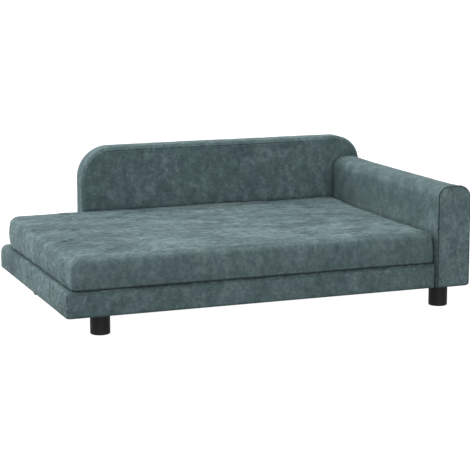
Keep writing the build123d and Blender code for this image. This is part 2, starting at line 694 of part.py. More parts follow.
with BuildPart() as zip_stops:
    block(zip_x0, zip_x0 + 3, y_tape, y_tape + 2.2, z_zip - 3, z_zip + 3)
    block(zip_x1 - 3, zip_x1, y_tape, y_tape + 2.2, z_zip - 3, z_zip + 3)
zip_stops.part.label = "zip_stops"
export_step(zip_stops.part, "parts/zip_stops.step")

# the slider straddles the coil; two cheeks carry the pin that the pull
# swings on
y_plate = y_zip + 1.0
with BuildPart() as zip_slider:
    with BuildSketch(facing(y_plate + 1.6)):
        with BuildLine():
            Polyline(
                (slider_x - 5.5, z_zip - 3.4), (slider_x + 4.0, z_zip - 4.2),
                (slider_x + 5.5, z_zip - 3.0), (slider_x + 5.5, z_zip + 3.0),
                (slider_x + 4.0, z_zip + 4.2), (slider_x - 5.5, z_zip + 3.4), close=True,
            )
        make_face()
    extrude(amount=1.6)
    block(slider_x - 5, slider_x + 3.5, y_plate - 1.8, y_plate, z_zip - 4.0, z_zip - 2.8)
    block(slider_x - 5, slider_x + 3.5, y_plate - 1.8, y_plate, z_zip + 2.8, z_zip + 4.0)
    block(slider_x - 1.5, slider_x + 1.5, y_plate + 1.6, pin_y + 1.1, z_zip - 3.4, z_zip - 2.3)
    block(slider_x - 1.5, slider_x + 1.5, y_plate + 1.6, pin_y + 1.1, z_zip + 2.3, z_zip + 3.4)
    upright(slider_x, pin_y, z_zip - 2.4, z_zip + 2.4, 0.8)
zip_slider.part.label = "zip_slider"
export_step(zip_slider.part, "parts/zip_slider.step")

with BuildPart() as zip_pull:
    upright(slider_x, pin_y, z_zip - 2.0, z_zip + 2.0, 1.5)
    block(slider_x + 1.0, slider_x + 5.0, pin_y - 0.6, pin_y + 0.6, z_zip - 2.0, z_zip + 2.0)
    with BuildSketch(facing(pin_y + 0.6)):
        with Locations((slider_x + 16.0, z_zip)):
            RectangleRounded(23.0, 7.0, 2.5)
    extrude(amount=1.2)
    with BuildSketch(facing(pin_y + 0.6)):
        with Locations((slider_x + 23.0, z_zip)):
            SlotOverall(5.0, 2.6)
    extrude(amount=1.2, mode=Mode.SUBTRACT)
    upright(slider_x, pin_y, z_zip - 3.0, z_zip + 3.0, 0.87, Mode.SUBTRACT)
zip_pull.part.label = "zip_pull"
export_step(zip_pull.part, "parts/zip_pull.step")
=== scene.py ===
import json
import math

import bmesh
import bpy
import numpy as np
from mathutils import Matrix, Vector, kdtree


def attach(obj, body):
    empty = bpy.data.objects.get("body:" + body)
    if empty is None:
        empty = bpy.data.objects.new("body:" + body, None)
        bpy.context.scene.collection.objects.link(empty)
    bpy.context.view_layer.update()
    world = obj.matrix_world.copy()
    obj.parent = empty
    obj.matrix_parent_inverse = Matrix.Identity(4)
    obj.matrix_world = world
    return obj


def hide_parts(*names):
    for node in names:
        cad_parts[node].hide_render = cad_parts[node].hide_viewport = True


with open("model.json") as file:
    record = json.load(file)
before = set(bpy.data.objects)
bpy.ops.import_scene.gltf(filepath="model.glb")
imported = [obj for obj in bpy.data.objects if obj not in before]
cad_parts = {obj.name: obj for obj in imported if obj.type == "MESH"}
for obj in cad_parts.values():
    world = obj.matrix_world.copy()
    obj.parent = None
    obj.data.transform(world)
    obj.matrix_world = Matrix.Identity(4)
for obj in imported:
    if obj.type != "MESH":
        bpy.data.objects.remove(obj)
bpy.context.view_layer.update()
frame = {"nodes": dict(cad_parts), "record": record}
scene = bpy.context.scene
MM = 0.001


# ---------------------------------------------------------------- noise
def _corner(ix, iy, iz, seed):
    n = (
        ix.astype(np.uint64) * np.uint64(73856093)
        ^ iy.astype(np.uint64) * np.uint64(19349663)
        ^ iz.astype(np.uint64) * np.uint64(83492791)
        ^ np.uint64(seed * 2654435761 & 0xFFFFFFFF)
    ) & np.uint64(0xFFFFFFFF)
    n = ((n ^ (n >> np.uint64(15))) * np.uint64(2246822519)) & np.uint64(0xFFFFFFFF)
    n = ((n ^ (n >> np.uint64(13))) * np.uint64(3266489917)) & np.uint64(0xFFFFFFFF)
    n = n ^ (n >> np.uint64(16))
    a = (n & np.uint64(1023)).astype(float) / 1023 * 2 * math.pi
    z = ((n >> np.uint64(10)) & np.uint64(1023)).astype(float) / 1023 * 2 - 1
    r = np.sqrt(np.maximum(0, 1 - z * z))
    return r * np.cos(a), r * np.sin(a), z


def noise(p, seed=1):
    """Gradient noise from about -1 to 1 at the points p."""
    p = np.asarray(p, float) + 512.37
    i = np.floor(p).astype(np.int64)
    f = p - i
    s = f * f * f * (f * (f * 6 - 15) + 10)
    out = np.zeros(len(p))
    for dx in (0, 1):
        for dy in (0, 1):
            for dz in (0, 1):
                gx, gy, gz = _corner(i[:, 0] + dx, i[:, 1] + dy, i[:, 2] + dz, seed)
                dot = gx * (f[:, 0] - dx) + gy * (f[:, 1] - dy) + gz * (f[:, 2] - dz)
                w = (
                    (s[:, 0] if dx else 1 - s[:, 0])
                    * (s[:, 1] if dy else 1 - s[:, 1])
                    * (s[:, 2] if dz else 1 - s[:, 2])
                )
                out += w * dot
    return out * 1.6


def waves(p, scale, seed=1, octaves=3):
    """Several octaves of noise; scale is waves per metre along X, Y and Z."""
    q = np.asarray(p, float) * np.asarray(scale, float)
    total, gain = np.zeros(len(q)), 1.0
    for k in range(octaves):
        total += gain * noise(q * (2.03**k), seed + 17 * k)
        gain *= 0.5
    return total


def step(x, a, b):
    t = np.clip((x - a) / (b - a), 0, 1)
    return t * t * (3 - 2 * t)


# ---------------------------------------------------------------- shells
EDGE = [0.0007, 0.0014, 0.0022, 0.0031, 0.0042, 0.0056, 0.0075, 0.0100, 0.0135, 0.0180]


def lines(a, b, pitch, near_a=(), near_b=(), extra=()):
    """Grid lines from a to b: close together near the ends, then evenly spaced."""
    low = a + (max(near_a) if len(near_a) else 0)
    high = b - (max(near_b) if len(near_b) else 0)
    n = max(1, int(round((high - low) / pitch)))
    values = [a, b] + [a + o for o in near_a] + [b - o for o in near_b]
    for x in np.linspace(low, high, n + 1):
        if all(abs(x - e) > pitch * 0.25 for e in extra):
            values.append(float(x))
    values = sorted(values + list(extra))
    kept = [values[0]]
    for x in values[1:]:
        if x - kept[-1] > 5e-5:
            kept.append(x)
    return np.array(kept)


def shell(us, vs, ws, keep=None):
    """A closed shell of quads round a slab: outline plane (u, v), thickness w."""
    nu, nv, nw = len(us), len(vs), len(ws)
    mask = np.ones((nu - 1, nv - 1), bool)
    if keep is not None:
        for i in range(nu - 1):
            for j in range(nv - 1):
                mask[i, j] = keep((us[i] + us[i + 1]) / 2, (vs[j] + vs[j + 1]) / 2)
    index, verts, faces = {}, [], []

    def at(i, j, k):
        key = (i, j, k)
        if key not in index:
            index[key] = len(verts)
            verts.append((us[i], vs[j], ws[k]))
        return index[key]

    for i in range(nu - 1):
        for j in range(nv - 1):
            if not mask[i, j]:
                continue
            for k, order in ((0, (0, 3, 2, 1)), (nw - 1, (0, 1, 2, 3))):
                ring = [at(i, j, k), at(i + 1, j, k), at(i + 1, j + 1, k), at(i, j + 1, k)]
                faces.append([ring[x] for x in order])
            sides = (
                (i == 0 or not mask[i - 1, j], (i, j + 1), (i, j)),
                (i == nu - 2 or not mask[i + 1, j], (i + 1, j), (i + 1, j + 1)),
                (j == 0 or not mask[i, j - 1], (i, j), (i + 1, j)),
                (j == nv - 2 or not mask[i, j + 1], (i + 1, j + 1), (i, j + 1)),
            )
            for wall, a, b in sides:
                if wall:
                    for k in range(nw - 1):
                        faces.append([at(*a, k), at(*b, k), at(*b, k + 1), at(*a, k + 1)])
    return np.array(verts, float), faces


def bend_corners(p, rect, radii):
    """Moves the points of a rectangle's grid so that its corners become arcs."""
    u0, u1, v0, v1 = rect
    q = p.copy()
    for (cu, su), (cv, sv), r in (
        ((u0, 1), (v0, 1), radii[0]),
        ((u1, -1), (v0, 1), radii[1]),
        ((u1, -1), (v1, -1), radii[2]),
        ((u0, 1), (v1, -1), radii[3]),
    ):
        r = np.maximum(r, 1e-6)
        ou, ov = cu + su * r, cv + sv * r
        s, t = (ou - q[:, 0]) * su / r, (ov - q[:, 1]) * sv / r
        inside = (s > 0) & (t > 0)
        m = np.maximum(s, t)
        f = np.where(inside, m / np.maximum(np.hypot(s, t), 1e-9), 1)
        q[:, 0] = np.where(inside, ou - su * s * f * r, q[:, 0])
        q[:, 1] = np.where(inside, ov - sv * t * f * r, q[:, 1])
    return q


def outline_distance(p, rect, radii):
    """Distance outside a rectangle with rounded corners; negative inside."""
    u0, u1, v0, v1 = rect
    mu, mv = (u0 + u1) / 2, (v0 + v1) / 2
    r = np.where(
        p[:, 0] < mu,
        np.where(p[:, 1] < mv, radii[0], radii[3]),
        np.where(p[:, 1] < mv, radii[1], radii[2]),
    )
    a = np.abs(p[:, 0] - mu) - (u1 - u0) / 2 + r
    b = np.abs(p[:, 1] - mv) - (v1 - v0) / 2 + r
    return np.minimum(np.maximum(a, b), 0) + np.hypot(np.maximum(a, 0), np.maximum(b, 0)) - r


def roll_edges(p, outline, w0, w1, r0, r1):
    """Rounds the edges between the outline's wall and the two faces."""

    def surface(q):
        high = q[:, 2] > (w0 + w1) / 2
        r = np.where(high, r1(q) if callable(r1) else r1, r0)
        a = outline(q) + r
        b = np.where(high, q[:, 2] - w1, w0 - q[:, 2]) + r
        return np.minimum(np.maximum(a, b), 0) + np.hypot(np.maximum(a, 0), np.maximum(b, 0)) - r

    h = 2e-5
    for _ in range(7):
        d = surface(p)
        g = np.stack([(surface(p + e) - surface(p - e)) / (2 * h) for e in np.eye(3) * h], 1)
        size = np.maximum((g * g).sum(1), 0.25)
        p = p - (d / size)[:, None] * g
    return p


AXES = {"z": (0, 1, 2), "y": (0, 2, 1)}  # world axes that u, v and w stand for


def to_world(p, along):
    q = np.empty_like(p)
    for k, axis in enumerate(AXES[along]):
        q[:, axis] = p[:, k]
    return q


def to_local(p, along):
    return np.stack([p[:, axis] for axis in AXES[along]], 1)


def make(name, verts, faces, smooth=True):
    mesh = bpy.data.meshes.new(name)
    mesh.from_pydata([tuple(v) for v in verts], [], [list(f) for f in faces])
    bm = bmesh.new()
    bm.from_mesh(mesh)
    bmesh.ops.recalc_face_normals(bm, faces=bm.faces)
    bm.to_mesh(mesh)
    bm.free()
    mesh.polygons.foreach_set("use_smooth", [smooth] * len(mesh.polygons))
    mesh.update()
    ob = bpy.data.objects.new(name, mesh)
    scene.collection.objects.link(ob)
    return ob


def points(ob):
    co = np.empty(len(ob.data.vertices) * 3)
    ob.data.vertices.foreach_get("co", co)
    return co.reshape(-1, 3)


def set_points(ob, p):
    ob.data.vertices.foreach_set("co", np.asarray(p, np.float32).ravel())
    ob.data.update()


def normals(ob):
    n = np.empty(len(ob.data.vertices) * 3, np.float32)
    ob.data.vertex_normals.foreach_get("vector", n)
    return n.reshape(-1, 3).astype(float)


# ---------------------------------------------------------------- cloth
def inflate(verts, faces, pin, pressure, frames, cap, bending=0.6, tension=12.0, grow=0.0):
    """Simulates the shell as cloth under pressure and returns how far each point moved."""
    ob = make("cloth_trial", verts, faces)
    group = ob.vertex_groups.new(name="held")
    for i, w in enumerate(pin):
        if w > 0:
            group.add([i], float(w), "REPLACE")
    cloth = ob.modifiers.new("cloth", "CLOTH")
    s = cloth.settings
    s.quality = 5
    s.mass = 0.25
    s.air_damping = 1.5
    s.tension_stiffness = s.compression_stiffness = tension
    s.shear_stiffness = 4.0
    s.bending_stiffness = bending
    s.tension_damping = s.compression_damping = s.shear_damping = 8.0
    s.bending_damping = 1.0
    s.use_pressure = True
    s.uniform_pressure_force = pressure
    s.effector_weights.gravity = 0
    s.vertex_group_mass = "held"
    s.pin_stiffness = 1.0
    s.shrink_min = -grow
    cloth.collision_settings.use_collision = False
    cloth.point_cache.frame_start, cloth.point_cache.frame_end = 1, frames
    for f in range(1, frames + 1):
        scene.frame_set(f)
    dg = bpy.context.evaluated_depsgraph_get()
    done = ob.evaluated_get(dg)
    co = np.empty(len(verts) * 3)
    done.data.vertices.foreach_get("co", co)
    moved = co.reshape(-1, 3) - verts
    size = np.linalg.norm(moved, axis=1)
    soft = cap * np.tanh(size / cap)
    moved *= (soft / np.maximum(size, 1e-9))[:, None]
    bpy.data.objects.remove(ob)
    scene.frame_set(1)
    return moved


def carry(target, source, moved, spacing):
    """The simulated movement, read at the points of a finer mesh."""
    tree = kdtree.KDTree(len(source))
    for i, v in enumerate(source):
        tree.insert(v, i)
    tree.balance()
    out = np.zeros_like(target)
    for i, v in enumerate(target):
        total, weight = np.zeros(3), 0.0
        for _, j, d in tree.find_n(v, 10):
            w = math.exp(-((d / spacing) ** 2)) + 1e-6
            total += w * moved[j]
            weight += w
        out[i] = total / weight
    return out


# ---------------------------------------------------------------- materials
class Nodes:
    """Short forms for building a material's node tree."""

    def __init__(self, name):
        self.mat = bpy.data.materials.new(name)
        self.mat.use_nodes = True
        self.tree = self.mat.node_tree
        self.tree.nodes.clear()
        self.out = self.add("ShaderNodeOutputMaterial")
        self.bsdf = self.add("ShaderNodeBsdfPrincipled")
        self.link(self.bsdf.outputs[0], self.out.inputs["Surface"])
        self.coord = self.add("ShaderNodeTexCoord").outputs["Object"]

    def add(self, kind, **values):
        node = self.tree.nodes.new(kind)
        for key, value in values.items():
            setattr(node, key, value)
        return node

    def link(self, a, b):
        self.tree.links.new(a, b)

    def place(self, source, where):
        if isinstance(source, bpy.types.NodeSocket):
            self.link(source, where)
        else:
            where.default_value = source

    def mapped(self, scale=(1, 1, 1), rotation=(0, 0, 0), location=(0, 0, 0)):
        m = self.add("ShaderNodeMapping")
        self.link(self.coord, m.inputs["Vector"])
        m.inputs["Scale"].default_value = scale
        m.inputs["Rotation"].default_value = rotation
        m.inputs["Location"].default_value = location
        return m.outputs[0]

    def noise(self, scale, detail=4.0, rough=0.5, vector=None, distortion=0.0):
        n = self.add("ShaderNodeTexNoise")
        self.link(vector if vector is not None else self.coord, n.inputs["Vector"])
        n.inputs["Scale"].default_value = scale
        n.inputs["Detail"].default_value = detail
        n.inputs["Roughness"].default_value = rough
        n.inputs["Distortion"].default_value = distortion
        return n.outputs["Fac"]

    def math(self, operation, a, b=0.5, clamp=False):
        m = self.add("ShaderNodeMath", operation=operation, use_clamp=clamp)
        self.place(a, m.inputs[0])
        self.place(b, m.inputs[1])
        return m.outputs[0]

    def spread(self, value, a, b, c=0.0, d=1.0):
        m = self.add("ShaderNodeMapRange")
        self.place(value, m.inputs["Value"])
        for key, x in (("From Min", a), ("From Max", b), ("To Min", c), ("To Max", d)):
            m.inputs[key].default_value = x
        return m.outputs[0]

    def ramp(self, value, stops):
        r = self.add("ShaderNodeValToRGB")
        self.link(value, r.inputs[0])
        e = r.color_ramp.elements
        while len(e) < len(stops):
            e.new(0.5)
        for item, (pos, colour) in zip(e, stops):
            item.position = pos
            item.color = (*colour, 1)
        return r.outputs[0]

    def mix(self, factor, a, b, kind="MIX"):
        m = self.add("ShaderNodeMix", data_type="RGBA", blend_type=kind)
        self.place(factor, m.inputs[0])
        for value, socket in ((a, m.inputs[6]), (b, m.inputs[7])):
            if isinstance(value, bpy.types.NodeSocket):
                self.link(value, socket)
            else:
                socket.default_value = (*value, 1)
        return m.outputs[2]

    def bump(self, height, strength, distance, after=None):
        b = self.add("ShaderNodeBump")
        b.inputs["Strength"].default_value = strength
        b.inputs["Distance"].default_value = distance
        self.link(height, b.inputs["Height"])
        if after is not None:
            self.link(after, b.inputs["Normal"])
        return b.outputs[0]

    def set(self, **values):
        names = {
            "rough": "Roughness",
            "metal": "Metallic",
            "specular": "Specular IOR Level",
            "sheen": "Sheen Weight",
            "sheen_rough": "Sheen Roughness",
            "sheen_tint": "Sheen Tint",
            "colour": "Base Color",
            "normal": "Normal",
            "coat": "Coat Weight",
        }
        for key, value in values.items():
            self.place(value, self.bsdf.inputs[names[key]])
        return self.mat


def velvet(name, tone=1.0, seed=0.0, side=0.13, top=0.10, side_light_lift=0.0,
           streak=(34.0, 72.0, 80.0), nap_side=(60.0, 60.0, 36.0)):
    """Short-pile velvet: brushed nap, soft cloudy shading and a fine pile.

    The point attribute "top" blends from the nap of the sides to that of the
    top; side and top are half the spread of shades, so less is more contrast.
    """
    n = Nodes(name)
    shift = (seed, seed * 0.7, seed * 0.3)
    over = n.add("ShaderNodeAttribute", attribute_name="top").outputs["Fac"]
    nap = n.noise(1.0, 5.0, 0.62, n.mapped(nap_side, (0, 0.2, 0), shift), 0.6)
    lying = n.noise(1.0, 5.0, 0.66, n.mapped(streak, (0, 0, 0.16), shift), 1.5)
    strokes = n.noise(1.0, 3.0, 0.6, n.mapped((62.0, 118.0, 120.0), (0, 0, -0.30), shift), 1.1)
    lying = n.math("ADD", n.math("MULTIPLY", lying, 0.6), n.math("MULTIPLY", strokes, 0.4))
    cloud = n.noise(8.5, 4.0, 0.6, n.mapped((1, 1, 1), (0, 0, 0), shift), 0.9)
    patch = n.noise(150.0, 5.0, 0.7, n.mapped((0.8, 1, 1), (0, 0.2, 0), shift), 0.5)
    pile = n.noise(380.0, 3.0, 0.7)
    hue = n.noise(13.0, 3.0, 0.6, n.mapped((1, 1, 1), (0, 0, 0.4), shift), 0.6)

    def sum_of(*terms):
        total = None
        for value, gain in terms:
            part = n.math("MULTIPLY", value, gain)
            total = part if total is None else n.math("ADD", total, part)
        return total

    low = sum_of((nap, 0.34), (patch, 0.36), (cloud, 0.16), (pile, 0.14))
    high = sum_of((lying, 0.50), (patch, 0.16), (cloud, 0.24), (pile, 0.10))
    # the sides' shades can be lifted as painted light, standing in for more light falling on the sides
    low = n.math("MULTIPLY", n.math("SUBTRACT", low, 0.5 - side_light_lift), 0.5 / side)
    high = n.math("MULTIPLY", n.math("SUBTRACT", high, 0.5), 0.5 / top)
    gap = n.math("MULTIPLY", n.math("SUBTRACT", high, low), over)
    shade = n.math("ADD", n.math("ADD", low, gap), 0.5, clamp=True)
    dark = tuple(c * tone for c in (0.040, 0.066, 0.068))
    middle = tuple(c * tone for c in (0.080, 0.122, 0.126))
    light = tuple(c * tone for c in (0.148, 0.206, 0.211))
    colour = n.ramp(shade, [(0.0, dark), (0.5, middle), (1.0, light)])
    cool = n.mix(1.0, colour, (1.01, 0.985, 1.01), "MULTIPLY")
    green = n.mix(1.0, colour, (1.0, 0.99, 0.965), "MULTIPLY")
    colour = n.mix(n.spread(hue, 0.40, 0.60), green, cool)
    # the attribute read here makes the colour half as light again: real brushed nap, and painted light on faces meant
    # to look lit
    brushed_and_lit = n.add("ShaderNodeAttribute", attribute_name="brushed_and_lit")
    colour = n.mix(brushed_and_lit.outputs["Fac"], colour, n.mix(1.0, colour, (1.50, 1.46, 1.46), "MULTIPLY"))
    # painted shade: the attribute read here darkens the colour along seam lines and in the gaps, creases and joins
    # where shade falls
    seam_and_shade = n.add("ShaderNodeAttribute", attribute_name="seam_and_shade")
    shaded = n.mix(1.0, colour, (0.30, 0.32, 0.34), "MULTIPLY")
    colour = n.mix(seam_and_shade.outputs["Fac"], colour, shaded)

    brushed = n.math("ADD", n.math("MULTIPLY", n.math("SUBTRACT", lying, nap), over), nap)
    first = n.bump(brushed, 0.5, 0.0016)
    second = n.bump(patch, 0.35, 0.0008, first)
    third = n.bump(n.noise(750.0, 3.0, 0.7), 0.4, 0.00035, second)
    return n.set(
        colour=colour,
        rough=n.spread(patch, 0.3, 0.7, 0.76, 0.94),
        specular=0.15,
        sheen=0.16,
        sheen_rough=0.5,
        sheen_tint=(0.62, 0.82, 0.84, 1),
        normal=third,
    )


def plastic(name, colour, rough=0.5, grain=0.25, scale=900.0):
    n = Nodes(name)
    cloud = n.noise(22.0, 3.0, 0.5)
    tone = n.mix(n.spread(cloud, 0.35, 0.65), colour, tuple(c * 1.35 for c in colour))
    fine = n.noise(scale, 2.0, 0.6)
    return n.set(
        colour=tone,
        rough=n.spread(fine, 0.3, 0.7, rough - 0.06, rough + 0.08),
        specular=0.4,
        normal=n.bump(fine, grain, 0.00015),
    )


def steel(name, colour=(0.55, 0.56, 0.57), rough=0.34):
    n = Nodes(name)
    wear_and_crease_shade = n.noise(160.0, 4.0, 0.6)
    fine = n.noise(1.0, 3.0, 0.6, n.mapped((2400, 2400, 220)))
    tone = n.mix(n.spread(wear_and_crease_shade, 0.35, 0.7), colour, tuple(c * 0.8 for c in colour))
    return n.set(
        colour=tone,
        metal=1.0,
        rough=n.spread(wear_and_crease_shade, 0.3, 0.7, rough - 0.06, rough + 0.12),
        normal=n.bump(fine, 0.12, 0.0001),
    )


def wood(name, light, dark, ring=38.0, along=(0.5, 6.0, 9.0)):
    n = Nodes(name)
    warp = n.noise(ring, 4.0, 0.6, n.mapped(along), 1.4)
    fine = n.noise(1.0, 3.0, 0.7, n.mapped((40, 900, 900)))
    tone = n.mix(n.spread(warp, 0.35, 0.65), light, dark)
    tone = n.mix(n.spread(fine, 0.35, 0.75, 0.0, 0.25), tone, tuple(c * 0.6 for c in dark))
    return n.set(colour=tone, rough=n.spread(warp, 0.3, 0.7, 0.58, 0.74), specular=0.3,
                 normal=n.bump(fine, 0.25, 0.0003))


def nonwoven(name, colour):
    """Spun-bonded cloth with its grid of pressed dots."""
    n = Nodes(name)
    v = n.add("ShaderNodeTexVoronoi", feature="F1")
    n.link(n.mapped((1, 1, 1), (0, 0, 0.785)), v.inputs["Vector"])
    v.inputs["Scale"].default_value = 520.0
    v.inputs["Randomness"].default_value = 0.15
    dots = n.spread(v.outputs["Distance"], 0.18, 0.4)
    fibres = n.noise(1.0, 5.0, 0.7, n.mapped((900, 260, 400), (0, 0, 0.3)))
    sag = n.noise(18.0, 3.0, 0.5)
    tone = n.mix(n.spread(fibres, 0.3, 0.7), tuple(c * 0.7 for c in colour), tuple(c * 1.5 for c in colour))
    first = n.bump(sag, 0.5, 0.002)
    second = n.bump(dots, 0.35, 0.0003, first)
    return n.set(colour=tone, rough=n.spread(fibres, 0.3, 0.7, 0.7, 0.85), specular=0.25,
                 sheen=0.1, normal=n.bump(fibres, 0.3, 0.0002, second))


def foam_stuff(name, colour):
    n = Nodes(name)
    v = n.add("ShaderNodeTexVoronoi", feature="F1")
    n.link(n.coord, v.inputs["Vector"])
    v.inputs["Scale"].default_value = 900.0
    cell = v.outputs["Distance"]
    cloud = n.noise(15.0, 3.0, 0.5)
    tone = n.mix(n.spread(cloud, 0.3, 0.7), colour, tuple(c * 0.86 for c in colour))
    return n.set(colour=tone, rough=n.spread(cell, 0.0, 0.6, 0.82, 0.95), specular=0.2,
                 normal=n.bump(cell, 0.4, 0.0004))


def tape_cloth(name, colour):
    n = Nodes(name)
    rib = n.add("ShaderNodeTexWave", wave_type="BANDS", bands_direction="X")
    n.link(n.coord, rib.inputs["Vector"])
    rib.inputs["Scale"].default_value = 260.0
    rib.inputs["Distortion"].default_value = 0.4
    row = n.add("ShaderNodeTexWave", wave_type="BANDS", bands_direction="Z")
    n.link(n.coord, row.inputs["Vector"])
    row.inputs["Scale"].default_value = 320.0
    row.inputs["Distortion"].default_value = 0.4
    weave = n.math("MULTIPLY", rib.outputs["Fac"], row.outputs["Fac"])
    tone = n.mix(weave, tuple(c * 0.7 for c in colour), tuple(c * 1.25 for c in colour))
    return n.set(colour=tone, rough=n.spread(weave, 0.0, 1.0, 0.75, 0.88), specular=0.25,
                 sheen=0.15, normal=n.bump(weave, 0.5, 0.0002))


# four copies of one velvet: besides their nap, their tones differ as painted light, each piece made lighter or darker
# for the light that reaches it
VELVET = velvet("velvet_cushion", 0.99, 0.0, side=0.16, top=0.058, side_light_lift=0.035)
VELVET_BODY = velvet("velvet_body", 0.99, 3.1, side=0.13, top=0.052)
VELVET_BACK = velvet("velvet_back", 1.07, 5.3, side=0.122, nap_side=(46.0, 60.0, 30.0))
VELVET_ARM = velvet("velvet_arm", 0.97, 7.7, side=0.120, nap_side=(60.0, 36.0, 30.0))
finish = {
    "velvet": VELVET_BODY,
    "foam": foam_stuff("foam", (0.72, 0.66, 0.50)),
    "plywood": wood("plywood", (0.56, 0.38, 0.21), (0.36, 0.22, 0.11)),
    "hardboard": wood("hardboard", (0.30, 0.18, 0.09), (0.20, 0.11, 0.05), 120.0, (1, 1, 1)),
    "pine": wood("pine", (0.72, 0.52, 0.30), (0.50, 0.30, 0.14)),
    "lining": nonwoven("lining", (0.014, 0.014, 0.015)),
    "foot_plastic": plastic("foot_plastic", (0.0078, 0.0078, 0.0081), 0.42),
    "foot_pad": plastic("foot_pad", (0.022, 0.021, 0.020), 0.85, 0.5, 500.0),
    "zinc_steel": steel("zinc_steel"),
    "zip_tape": tape_cloth("zip_tape", (0.035, 0.052, 0.056)),
    "zip_coil": plastic("zip_coil", (0.028, 0.040, 0.043), 0.42, 0.2, 1500.0),
    "zip_metal": steel("zip_metal", (0.30, 0.30, 0.31), 0.30),
}
slots = {s["node"]: s["material_slot"] for s in frame["record"]["subparts"]}
for name, node in frame["nodes"].items():
    node.data.materials.clear()
    node.data.materials.append(finish[slots[name]])


def dress(ob, material, body):
    ob.data.materials.clear()
    ob.data.materials.append(material)
    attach(ob, body)


# ---------------------------------------------------------------- seams
def seam_shape(s, groove, welt, out=0.0022, other=0.0):
    """Height along the normal across a welted seam: s is the distance from it, positive on the welt's side."""
    h = -groove * np.exp(-((s / 0.0010) ** 2))
    h += welt * np.exp(-(((s - out) / 0.0013) ** 2))
    h += other * np.exp(-(((s + out) / 0.0013) ** 2))
    h -= 0.45 * welt * np.exp(-(((s - out - 0.0028) / 0.0009) ** 2))
    return h


def mark_seams_and_shade(ob, values):
    """Stores how much each point is darkened in the velvet's colour: dark seam lines with painted shade in their
    grooves, and painted shade in gaps, creases and where parts meet.
    """
    layer = ob.data.attributes.new("seam_and_shade", "FLOAT", "POINT")
    layer.data.foreach_set("value", np.clip(values, 0, 1).astype(np.float32))


def mark_brushed_and_lit(ob, values):
    """Where the colour is made paler: nap brushed one way, and painted light that brightens whole faces."""
    at = ob.data.attributes.new("brushed_and_lit", "FLOAT", "POINT")
    at.data.foreach_set("value", np.clip(values, 0, 1).astype(np.float32))


def mark_tops(ob, values):
    layer = ob.data.attributes.new("top", "FLOAT", "POINT")
    layer.data.foreach_set("value", np.clip(values, 0, 1).astype(np.float32))


# ---------------------------------------------------------------- cushion
CX0, CX1, CY0, CY1, CZ0, CZ1 = -0.437, 0.370, -0.289, 0.246, 0.1093, 0.180
CUSHION_RECT = (CX0, CX1, CY0, CY1)
ZX0, ZX1, ZZ0, ZZ1 = -0.401, 0.336, 0.1425, 0.1515  # slot that the zip lies in
HX0, HX1, HZ0, HZ1 = -0.414, 0.348, 0.140, 0.154  # folded-in channel along the back


def cushion_corners(z):
    """Corner radii: tight along the seams, wider where the corner turns into the top."""
    wide = step(z, 0.140, 0.172)
    return tuple(r + (0.019 - r) * wide for r in (0.010, 0.013, 0.013, 0.013))


def cushion_edge(q):
    """Radius of the upper edge: full along the front, firmer along the back."""
    return 0.018 - 0.010 * step(q[:, 1], 0.12, 0.23) * (1 - 0.5 * step(-q[:, 0], 0.37, 0.43))


def cushion_outline(q):
    return outline_distance(q, CUSHION_RECT, cushion_corners(q[:, 2]))


def cushion_shell(us, vs, ws):
    p, faces = shell(us, vs, ws)
    p = bend_corners(p, CUSHION_RECT, cushion_corners(p[:, 2]))
    return roll_edges(p, cushion_outline, CZ0, CZ1, 0.0055, cushion_edge), faces


